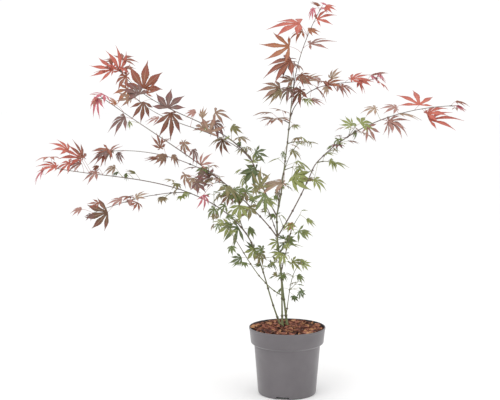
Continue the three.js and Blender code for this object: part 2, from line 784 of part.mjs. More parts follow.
function potSolid() {
  const shoulder = POT.height - POT.collarHeight;
  const skirtInside = POT.footRadius - POT.skirtWidth;
  const outside = [
    [0, 0],
    [POT.discRadius, 0],
    [POT.discRadius + POT.discSlope, POT.floorRise],
    [skirtInside, POT.floorRise],
    [skirtInside, 0],
    [POT.footRadius, 0],
    [mix(POT.footRadius, POT.baseRadius, 0.7), POT.edgeRise * 0.4],
    [POT.baseRadius, POT.edgeRise],
    [POT.bodyRadius, shoulder - POT.shoulderHeight],
    [POT.collarRadius, shoulder],
    [POT.rimRadius, POT.height],
  ];
  let solid = solidOf(lathe([...outside, ...potInside(0).reverse()]));
  for (let i = 0; i < POT.notches; i += 1) {
    solid = solid.subtract(notch(POT.notchTurn + (360 / POT.notches) * i));
  }
  for (let i = 0; i < POT.drains; i += 1) {
    solid = solid.subtract(drain((360 / POT.drains) * (i + 0.5)));
  }
  return solid;
}

// Potting soil under bark mulch: it fills the pot and swells to a level patch round the stems.
function soilSolid() {
  const wall = potInside(CLEARANCE);
  const [rimRadius, rimHeight] = wall.pop();
  const [collarRadius, collarHeight] = wall.at(-1);
  const share = (SOIL.wallLevel - collarHeight) / (rimHeight - collarHeight);
  const edge = mix(collarRadius, rimRadius, share);
  return solidOf(lathe([
    ...wall,
    [edge, SOIL.wallLevel],
    [(edge + SOIL.patchRadius) / 2, mix(SOIL.wallLevel, SOIL.level, 0.7)],
    [SOIL.patchRadius, SOIL.level],
    [0, SOIL.level],
  ]));
}

const group = new THREE.Group();
// What each limb and shoot keeps clear for itself: its own wood with the clearance round it.
const rooms = new Map();

function addPart(name, solid, colour, roughness) {
  const material = new THREE.MeshStandardMaterial({ color: colour, roughness, metalness: 0 });
  const mesh = new THREE.Mesh(geometryOf(solid), material);
  mesh.name = name;
  group.add(mesh);
}

function roomAround(line, radiusAt, sides) {
  const { point, ahead } = place(line, lengthOf(line));
  const longer = [...line.slice(0, -1), point.addScaledVector(ahead, CLEARANCE)];
  return solidOf(tube(longer, (distance) => radiusAt(distance) + CLEARANCE, sides));
}

// A stem is cut off flat, a clearance above the soil.
function cutFlat(solid) {
  const depth = 40;
  const ground = new THREE.BoxGeometry(2 * POT.rimRadius, 2 * POT.rimRadius, depth);
  ground.translate(0, 0, SOIL.level + CLEARANCE - depth / 2);
  return solid.subtract(solidOf(ground)).asOriginal().simplify(SMOOTHING.limb);
}

// A limb's foot is cut clear of its carrier and of the limbs already borne there.
function cutClear(solid, carrier) {
  let cut = solid.subtract(rooms.get(carrier));
  for (const [name, room] of rooms) {
    if (LIMBS[name].on === carrier) {
      cut = cut.subtract(room);
    }
  }
  return mainBody(cut).asOriginal().simplify(SMOOTHING.limb);
}

// A limb's radius eases from its foot to its tip, and a stem's foot spreads into its flare.
function limbRadius(limb, total, distance) {
  const flare = (limb.flare ?? 0) * Math.exp(-distance / FLARE_LENGTH);
  return mix(...limb.radii, distance / total) + flare;
}

function addLimbs() {
  for (const [name, limb] of Object.entries(LIMBS)) {
    const carried = limb.on !== undefined;
    const foot = carried ? place(LIMBS[limb.on].line, limb.at).point : new THREE.Vector3(...limb.foot);
    limb.line = centreLine(foot, limb.reaches);
    limb.total = lengthOf(limb.line);
    const bare = stretch(limb.line, 0, limb.bare ?? limb.total);
    if (!carried) {
      bare[0].z -= 2 * CLEARANCE;
    }
    const radiusAt = (distance) => limbRadius(limb, limb.total, distance);
    const whole = solidOf(tube(bare, radiusAt, LIMB_SIDES));
    const solid = carried ? cutClear(whole, limb.on) : cutFlat(whole);
    rooms.set(name, roomAround(bare, radiusAt, LIMB_SIDES));
    addPart(name, solid, carried ? COLOURS.bough : COLOURS.stem, 0.8);
  }
}

// The wood of a mass, cut clear of the limb that bears it.
function massStem(mass) {
  const limb = LIMBS[mass.end ?? mass.on];
  let radiusAt = (distance) => mix(SHOOT.foot, SHOOT.tip, distance / mass.total);
  if (mass.end) {
    mass.line = stretch(limb.line, limb.bare, limb.total);
    radiusAt = (distance) => limbRadius(limb, limb.total, limb.bare + distance);
  } else {
    mass.line = centreLine(place(limb.line, mass.at).point, [mass.shoot]);
  }
  mass.total = lengthOf(mass.line);
  mass.room = roomAround(mass.line, radiusAt, SHOOT.sides);
  return cutClear(solidOf(tube(mass.line, radiusAt, SHOOT.sides)), mass.end ?? mass.on);
}

function boxesMeet(one, other) {
  const a = one.boundingBox();
  const b = other.boundingBox();
  return [0, 1, 2].every((axis) => a.min[axis] <= b.max[axis] && b.min[axis] <= a.max[axis]);
}

function touches(solid, others) {
  return others.some((other) => boxesMeet(solid, other) && !solid.intersect(other).isEmpty());
}

// Whether a leaf's heart and its middle lobe's tip stay in the space round the mass's stem.
function inSpace(leaf, line) {
  const tip = leaf.heart.clone().addScaledVector(leaf.ahead, leaf.size);
  const near = (point, other) => point.distanceTo(other) < SHOOT.space;
  return line.some((point) => near(point, tip) && near(point, leaf.heart));
}

function tintColour(tint) {
  const { green, bronze, rust, coral } = COLOURS;
  const stops = [green, bronze, rust, coral].map((hex) => new THREE.Color(hex));
  const along = THREE.MathUtils.clamp(tint, 0, 0.999) * (stops.length - 1);
  return stops[Math.floor(along)].clone().lerp(stops[Math.floor(along) + 1], along % 1);
}

// Each mass takes the leaves and twigs that stay in its space and touch nothing of its neighbours.
function addMasses() {
  for (const mass of Object.values(MASSES)) {
    mass.solid = massStem(mass);
  }
  const names = Object.keys(MASSES);
  for (const name of names) {
    const mass = MASSES[name];
    const others = names.filter((other) => other !== name);
    const grownOthers = others.flatMap((other) => [MASSES[other].room, MASSES[other].solid]);
    const neighbours = [...rooms.values(), ...grownOthers];
    const { twigs, leaves } = growShoot(mass.line, mass, mass.seed, false);
    for (const [k, star] of (STARS[name] ?? []).entries()) {
      if (star[4] >= SHOOT.least) {
        leaves.push(starAt(mass.line, star, mass.seed + 31 + 0.17 * k));
      }
    }
    for (const twig of twigs) {
      if (!touches(twigSolid(twig, CLEARANCE), neighbours)) {
        mass.solid = mass.solid.add(twigSolid(twig, 0));
      }
    }
    for (const leaf of leaves) {
      if (inSpace(leaf, mass.line) && !touches(leafSolid(leaf, CLEARANCE), neighbours)) {
        mass.solid = mass.solid.add(leafSolid(leaf, 0));
      }
    }
    mass.solid = mainBody(mass.solid).asOriginal().simplify(SMOOTHING.mass);
    addPart(name, mass.solid, tintColour((mass.tint[0] + mass.tint[1]) / 2), 0.6);
  }
}

addPart('pot', potSolid(), COLOURS.pot, 0.5);
addPart('potting_soil', soilSolid(), COLOURS.soil, 0.95);
addLimbs();
addMasses();

export default group;
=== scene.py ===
"""A young Japanese maple in a nursery pot, dressed for Blender 4.5.

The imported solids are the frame. The pot, its mulch, the bark, the twigs and the leaves are made
here. Wood and leaves grow by the same rule as the solids, in millimetres with +Z up, and are
turned into metres as their meshes are made.
"""

from __future__ import annotations

import logging
import math
from dataclasses import dataclass, field, replace
from enum import Enum
from typing import Callable, Iterable

import bmesh
import bpy
from mathutils import Matrix, Vector

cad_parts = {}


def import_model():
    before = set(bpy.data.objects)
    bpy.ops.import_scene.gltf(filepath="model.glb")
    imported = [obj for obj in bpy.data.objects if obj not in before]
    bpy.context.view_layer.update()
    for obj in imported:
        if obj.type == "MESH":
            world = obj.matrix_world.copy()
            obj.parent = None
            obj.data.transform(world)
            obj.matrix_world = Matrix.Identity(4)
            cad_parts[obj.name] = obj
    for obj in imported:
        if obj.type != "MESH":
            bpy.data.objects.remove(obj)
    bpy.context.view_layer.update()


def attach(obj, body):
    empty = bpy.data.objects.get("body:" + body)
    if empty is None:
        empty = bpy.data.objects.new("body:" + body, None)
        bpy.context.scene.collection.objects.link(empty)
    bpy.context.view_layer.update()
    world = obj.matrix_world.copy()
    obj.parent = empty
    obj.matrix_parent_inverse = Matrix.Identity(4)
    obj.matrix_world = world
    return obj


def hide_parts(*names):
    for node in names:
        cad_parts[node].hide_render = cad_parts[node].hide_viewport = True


BMesh = bmesh.types.BMesh
Material = bpy.types.Material
Mesh = bpy.types.Mesh
Socket = bpy.types.NodeSocket
Pair = tuple[float, float]
Radius = Callable[[float], float]

LOG = logging.getLogger("maple")
BODY = "root"
MM = 0.001
UP = Vector((0.0, 0.0, 1.0))
FRONT = Vector((0.0, -1.0, 0.0))
# The longest span of a limb's line, in millimetres.
STEP = 26.0
# How upright a way ahead may be before FRONT takes the place of UP beside it.
UPRIGHT = 0.9
# How soon the flare at a stem's foot fades, in millimetres.
FLARE_LENGTH = 14.0
# Where on the scale of tints the twigs and stalks turn red.
RED_FROM = 0.4


def chance(seed: float, use: float) -> float:
    """Gives a repeatable value from 0 to 1.

    Args:
        seed: The number of the shoot or leaf.
        use: What the value is for.

    Returns:
        The same value each time for the same seed and use.
    """
    wave = math.sin(seed * 12.9898 + use * 78.233) * 43758.5453
    return wave - math.floor(wave)


def swing(seed: float, use: float, most: float) -> float:
    """A repeatable value from minus most to plus most."""
    return (2.0 * chance(seed, use) - 1.0) * most


def mix(start: float, end: float, share: float) -> float:
    """The value a share of the way from start to end."""
    return start + (end - start) * share


def blend(*terms: tuple[Vector, float]) -> Vector:
    """Adds vectors up by their shares.

    Args:
        terms: The vectors, each with its share.

    Returns:
        The way that the sum points, at length one.
    """
    total = Vector((0.0, 0.0, 0.0))
    for vector, share in terms:
        total += vector * share
    return total.normalized()


def stray(seed: float, use: int, most: float) -> Vector:
    """A repeatable step aside, of up to most along each axis."""
    return Vector([swing(seed, use + axis, most) for axis in range(3)])


def square_to(ahead: Vector) -> Vector:
    """A direction square to the way ahead, level wherever that isn't upright."""
    return ahead.cross(UP if abs(ahead.z) < UPRIGHT else FRONT).normalized()


# Growth: the lines that wood and leaves follow


@dataclass(frozen=True)
class Reach:
    """One reach of a limb: its heading veers, and its pitch eases from climb to settle."""

    heading: float
    veer: float
    climb: float
    cruise: float
    settle: float
    length: float

    def step(self, share: float) -> Vector:
        """Finds the way ahead on this reach.

        Args:
            share: How far along the reach, from 0 to 1.

        Returns:
            The direction, at length one.
        """
        rest = 1.0 - share
        pitch = self.climb * rest**2 + 2.0 * self.cruise * share * rest + self.settle * share**2
        pitch = math.radians(pitch)
        turn = math.radians(self.heading + self.veer * share)
        level = math.cos(pitch)
        return Vector((level * math.cos(turn), level * math.sin(turn), math.sin(pitch)))


class Line:
    """A line of points through the middle of a limb, shoot or stalk, in millimetres."""

    def __init__(self, points: Iterable[Vector]) -> None:
        """Keeps the points.

        Args:
            points: The line's points from its foot to its tip.
        """
        self.points = [Vector(point) for point in points]
        self.spans = [(b - a).length for a, b in zip(self.points, self.points[1:])]
        self.length = sum(self.spans)

    @classmethod
    def grown(cls, foot: Vector, reaches: Iterable[Reach]) -> Line:
        """Grows a line from its foot.

        Args:
            foot: Where the line starts.
            reaches: The reaches that it follows, in order.

        Returns:
            The whole line.
        """
        points = [Vector(foot)]
        for reach in reaches:
            steps = math.ceil(reach.length / STEP)
            for i in range(steps):
                ahead = reach.step((i + 0.5) / steps)
                points.append(points[-1] + ahead * (reach.length / steps))
        return cls(points)

    def span_at(self, distance: float) -> tuple[int, float]:
        """Finds the span that a distance ends in.

        Args:
            distance: The distance from the line's foot.

        Returns:
            The span's number, and how far along that span the distance ends.
        """
        left = distance
        i = 0
        while left > self.spans[i] and i < len(self.spans) - 1:
            left -= self.spans[i]
            i += 1
        return i, left

    def place(self, distance: float) -> tuple[Vector, Vector]:
        """Finds a place along the straight spans.

        Args:
            distance: The distance from the line's foot.

        Returns:
            The point, and the way ahead there.
        """
        i, left = self.span_at(distance)
        ahead = (self.points[i + 1] - self.points[i]).normalized()
        return self.points[i] + ahead * left, ahead

    def stretch(self, start: float, end: float) -> Line:
        """Takes out a part of the line.

        Args:
            start: The distance at which the part starts.
            end: The distance at which it ends.

        Returns:
            The part, as a line of its own.
        """
        points = [self.place(start)[0]]
        run = 0.0
        for i, span in enumerate(self.spans):
            run += span
            if start + 1.0 < run < end - 1.0:
                points.append(self.points[i + 1])
        points.append(self.place(end)[0])
        return Line(points)

    def smooth(self, distance: float) -> Vector:
        """Finds a place along the smooth curve through the points.

        Args:
            distance: The distance from the line's foot.

        Returns:
            The point.
        """
        i, left = self.span_at(min(max(distance, 0.0), self.length))
        t = left / self.spans[i]
        b, c = self.points[i], self.points[i + 1]
        a = self.points[i - 1] if i > 0 else b * 2.0 - c
        d = self.points[i + 2] if i + 2 < len(self.points) else c * 2.0 - b
        bend = (a * 2.0 - b * 5.0 + c * 4.0 - d) * t**2 + (b * 3.0 - a - c * 3.0 + d) * t**3
        return (b * 2.0 + (c - a) * t + bend) * 0.5

    def frames(self, rings: int) -> list[tuple[Vector, Vector, Vector]]:
        """Points along the smooth curve, each with two directions square to it.

        Args:
            rings: How many equal stretches the curve is cut into.

        Returns:
            A point, a side and an over for each cut, turned as little as can be.
        """
        points = [self.smooth(self.length * i / rings) for i in range(rings + 1)]
        aheads = []
        for i in range(rings + 1):
            low, high = max(i - 1, 0), min(i + 1, rings)
            aheads.append((points[high] - points[low]).normalized())
        side = square_to(aheads[0])
        found = []
        for point, ahead in zip(points, aheads):
            side = (side - ahead * side.dot(ahead)).normalized()
            found.append((point, side, ahead.cross(side)))
        return found


@dataclass(frozen=True)
class Leaf:
    """Where a leaf is: its stalk's root, its blade's heart, and how the blade lies."""

    root: Vector
    heart: Vector
    ahead: Vector
    face: Vector
    size: float
    tint: float
    seed: float
    own: str = ""


@dataclass
class Limb:
    """A stem or bough. It is bare up to where its leafy end begins."""

    reaches: tuple[Reach, ...]
    radii: Pair
    foot: tuple[float, float, float] | None = None
    on: str = ""
    at: float = 0.0
    bare: float | None = None
    flare: float = 0.0
    line: Line = field(init=False)

    def radius(self, distance: float) -> float:
        """The radius at a distance from the foot, in millimetres."""
        flare = self.flare * math.exp(-distance / FLARE_LENGTH)
        return mix(*self.radii, distance / self.line.length) + flare


@dataclass(frozen=True)
class Star:
    """A leaf that is placed by itself, because it shows from the front.

    Its heart stands to the right of and above the node at a share of its shoot. Its middle lobe
    turns from the right towards up, and the blade rolls about that lobe away from the viewer. A
    pitch points the lobe away from the viewer. A leaf may name a tint of its own.
    """

    at: float
    right: float
    up: float
    turn: float
    size: float
    tint: float
    roll: float = 46.0
    pitch: float = 0.0
    own: str = ""


@dataclass
class Mass:
    """A mass of leaves on a limb's leafy end, or on a shoot of its own."""

    pairs: int
    first: float
    turn: float
    size: Pair
    stalk: Pair
    front: float
    droop: float
    tint: Pair
    seed: float
    end: str = ""
    on: str = ""
    at: float = 0.0
    shoot: Reach | None = None
    hazy: bool = False
    line: Line = field(init=False)


SOIL_LEVEL = 168.0

LIMBS: dict[str, Limb] = {
    "stem_leader": Limb(
        foot=(0, 11, SOIL_LEVEL),
        reaches=(
            Reach(202, 0, 82, 84, 83, 227),
            Reach(130, 0, 88, 88, 88, 53),
            Reach(0, 10, 78, 88, 82, 318),
        ),
        radii=(3, 1.4),
        flare=2.2,
    ),
    "stem_middle": Limb(
        foot=(-12, 3, SOIL_LEVEL),
        reaches=(Reach(250, 0, 86, 87, 86, 137), Reach(-25, 0, 80, 77, 74, 95)),
        radii=(2.7, 1.3),
        flare=1.8,
    ),
    "stem_left": Limb(
        foot=(-16, 12, SOIL_LEVEL),
        reaches=(Reach(160, 15, 66, 82, 59, 245),),
        radii=(2.3, 1.9),
        flare=1.2,
    ),
    "stem_thin_left": Limb(
        on="stem_leader", at=76, bare=216,
        reaches=(Reach(203, 49, 28, 75, 24, 310),), radii=(1.6, 0.9),
    ),
    "stem_small_right": Limb(
        on="stem_leader", at=22, bare=65,
        reaches=(Reach(-40, 40, 78, 95, 54, 145),), radii=(1.5, 0.9),
    ),
    "bough_left": Limb(
        on="stem_left", at=245, bare=193,
        reaches=(Reach(178, 26, 54, -8, 14, 535),), radii=(1.8, 0.9),
    ),
    "bough_low_left": Limb(
        on="bough_left", at=176, bare=122,
        reaches=(Reach(222, -20, 9, -12, -18, 270),), radii=(1.3, 0.8),
    ),
    "bough_middle_left": Limb(
        on="stem_leader", at=227, bare=240,
        reaches=(Reach(214, -22, 50, 28, 36, 570),), radii=(1.9, 0.9),
    ),
    "bough_side_left": Limb(
        on="bough_middle_left", at=225, bare=104,
        reaches=(Reach(165, 20, 30, 15, -4, 275),), radii=(1.3, 0.8),
    ),
    "bough_upper_left": Limb(
        on="stem_leader", at=280, bare=161,
        reaches=(Reach(165, 0, 61, 67, 66, 155), Reach(160, 10, 50, -9, 58, 420)),
        radii=(2, 0.9),
    ),
    "bough_right": Limb(
        on="stem_leader", at=227, bare=298,
        reaches=(Reach(-22, 10, 56, 66, 64, 205), Reach(-12, 10, 50, 19, 2, 372)),
        radii=(2, 0.9),
    ),
    "bough_upper_right": Limb(
        on="stem_leader", at=517, bare=103,
        reaches=(Reach(40, -25, 76, -22, 14, 295),), radii=(1.5, 0.8),
    ),
    "bough_front": Limb(
        on="stem_leader", at=234, bare=95,
        reaches=(Reach(235, 20, 60, 50, 20, 190),), radii=(1.4, 0.9),
    ),
    "bough_back": Limb(
        on="stem_leader", at=289, bare=120,
        reaches=(Reach(80, -20, 62, 50, 20, 240),), radii=(1.4, 0.9),
    ),
}

MASSES: dict[str, Mass] = {
    "foliage_top": Mass(
        on="stem_leader", at=598, shoot=Reach(-10, 20, 83, 69, 61, 205),
        pairs=2, first=0.04, turn=90, size=(44, 24), stalk=(42, 22),
        front=0.5, droop=-0.1, tint=(0.5, 0.97), seed=4313,
    ),
    "foliage_upper_right": Mass(
        end="bough_upper_right",
        pairs=2, first=0.08, turn=30, size=(46, 29), stalk=(26, 16),
        front=0.1, droop=0, tint=(0.6, 0.98), seed=4686, hazy=True,
    ),
    "foliage_right": Mass(
        end="bough_right",
        pairs=2, first=0.05, turn=0, size=(42, 30), stalk=(36, 14),
        front=0.3, droop=-0.4, tint=(0.2, 0.95), seed=4414, hazy=True,
    ),
    "foliage_upper_left": Mass(
        end="bough_upper_left",
        pairs=2, first=0.04, turn=165, size=(42, 46), stalk=(40, 28),
        front=0.4, droop=-0.6, tint=(0.1, 0.84), seed=1585,
    ),
    "foliage_upper_side": Mass(
        on="bough_upper_left", at=150, shoot=Reach(205, -20, 50, -10, 45, 330),
        pairs=2, first=0.4, turn=165, size=(55, 40), stalk=(32, 18),
        front=0.7, droop=-0.6, tint=(0.45, 0.55), seed=4567,
    ),
    "foliage_middle_left": Mass(
        end="bough_middle_left",
        pairs=2, first=0.05, turn=30, size=(36, 35), stalk=(40, 10),
        front=0.2, droop=0.1, tint=(0.3, 0.95), seed=8509,
    ),
    "foliage_side_left": Mass(
        end="bough_side_left",
        pairs=2, first=0.2, turn=75, size=(32, 56), stalk=(32, 16),
        front=0.3, droop=0.1, tint=(0.4, 0.78), seed=8199,
    ),
    "foliage_left": Mass(
        end="bough_left",
        pairs=2, first=0.05, turn=165, size=(28, 36), stalk=(38, 22),
        front=0, droop=0.6, tint=(0.3, 0.95), seed=5807,
    ),
    "foliage_low_left": Mass(
        end="bough_low_left",
        pairs=1, first=0.2, turn=165, size=(30, 30), stalk=(30, 10),
        front=0.1, droop=0.2, tint=(0.75, 0.55), seed=1718,
    ),
    "foliage_thin_left": Mass(
        end="stem_thin_left",
        pairs=3, first=0.1, turn=90, size=(22, 28), stalk=(30, 16),
        front=0.3, droop=0.6, tint=(0.05, 0.15), seed=4175,
    ),
    "foliage_small_right": Mass(
        end="stem_small_right",
        pairs=2, first=0.07, turn=15, size=(29, 27), stalk=(22, 12),
        front=0.4, droop=0.7, tint=(0.05, 0.1), seed=8805,
    ),
    "foliage_middle": Mass(
        on="stem_middle", at=232, shoot=Reach(-10, 0, 74, 65, 55, 60),
        pairs=1, first=0.12, turn=75, size=(30, 30), stalk=(30, 28),
        front=0.3, droop=0.8, tint=(0.02, 0.1), seed=198,
    ),
    "foliage_front": Mass(
        end="bough_front",
        pairs=1, first=0.1, turn=105, size=(24, 41), stalk=(34, 12),
        front=0.4, droop=0.6, tint=(0.05, 0.24), seed=2517,
    ),
    "foliage_back": Mass(
        end="bough_back",
        pairs=2, first=0.13, turn=120, size=(32, 30), stalk=(34, 24),
        front=0.3, droop=0.5, tint=(0.1, 0.3), seed=1638,
    ),
    "foliage_low": Mass(
        on="stem_leader", at=185, shoot=Reach(-60, 0, 40, 40, 30, 30),
        pairs=1, first=0.3, turn=120, size=(38, 34), stalk=(26, 26),
        front=0.4, droop=0.8, tint=(0.02, 0.1), seed=1740,
    ),
    "foliage_heart": Mass(
        on="stem_leader", at=395, shoot=Reach(-20, 0, 20, 20, 20, 24),
        pairs=1, first=0.9, turn=120, size=(58, 49), stalk=(26, 22),
        front=0.5, droop=0.5, tint=(0.02, 0.1), seed=3500,
    ),
    "foliage_high": Mass(
        on="stem_leader", at=460, shoot=Reach(-40, 0, 20, 10, 0, 40),
        pairs=2, first=0.4, turn=135, size=(34, 28), stalk=(26, 22),
        front=0, droop=0.1, tint=(0.1, 0.2), seed=998,
    ),
    "foliage_fork": Mass(
        on="stem_leader", at=511, shoot=Reach(200, 0, 40, 10, 0, 30),
        pairs=2, first=0.4, turn=120, size=(42, 40), stalk=(34, 26),
        front=0.2, droop=0.5, tint=(0.3, 0.5), seed=5447,
    ),
    "foliage_whorl": Mass(
        on="stem_leader", at=588, shoot=Reach(200, 0, 20, 10, 0, 26),
        pairs=1, first=0.4, turn=135, size=(36, 34), stalk=(34, 22),
        front=0.4, droop=0.5, tint=(0.38, 0.45), seed=2152,
    ),
    "foliage_elbow": Mass(
        on="bough_left", at=14, shoot=Reach(120, 0, 60, 40, 20, 60),
        pairs=1, first=0.4, turn=75, size=(43, 46), stalk=(34, 30),
        front=0.5, droop=0.8, tint=(0.02, 0.1), seed=2622,
    ),
    "foliage_knee": Mass(
        on="stem_left", at=176, shoot=Reach(-10, 0, 20, 10, 0, 26),
        pairs=1, first=0.4, turn=75, size=(30, 36), stalk=(26, 22),
        front=0.4, droop=0.2, tint=(0.02, 0.1), seed=2871,
    ),
    "foliage_arch": Mass(
        on="bough_upper_left", at=115, shoot=Reach(150, 0, 20, 10, 0, 40),
        pairs=1, first=0.27, turn=90, size=(46, 36), stalk=(26, 22),
        front=0.4, droop=0.2, tint=(0, 0.1), seed=6685,
    ),
    "foliage_shoulder": Mass(
        on="bough_middle_left", at=148, shoot=Reach(200, 0, 30, 10, 0, 40),
        pairs=1, first=0.27, turn=0, size=(40, 47), stalk=(30, 30),
        front=0.2, droop=0.6, tint=(0.05, 0.15), seed=7721,
    ),
    "foliage_wing": Mass(
        on="bough_middle_left", at=205, shoot=Reach(230, 0, 20, 0, -10, 40),
        pairs=1, first=0.4, turn=60, size=(44, 46), stalk=(38, 26),
        front=0.2, droop=0.8, tint=(0.3, 0.5), seed=6090,
    ),
    "foliage_right_low": Mass(
        on="bough_right", at=214, shoot=Reach(-10, 0, 20, 0, -10, 30),
        pairs=1, first=0.4, turn=60, size=(37, 33), stalk=(30, 22),
        front=0.4, droop=0.2, tint=(0.05, 0.1), seed=5965,
    ),
}

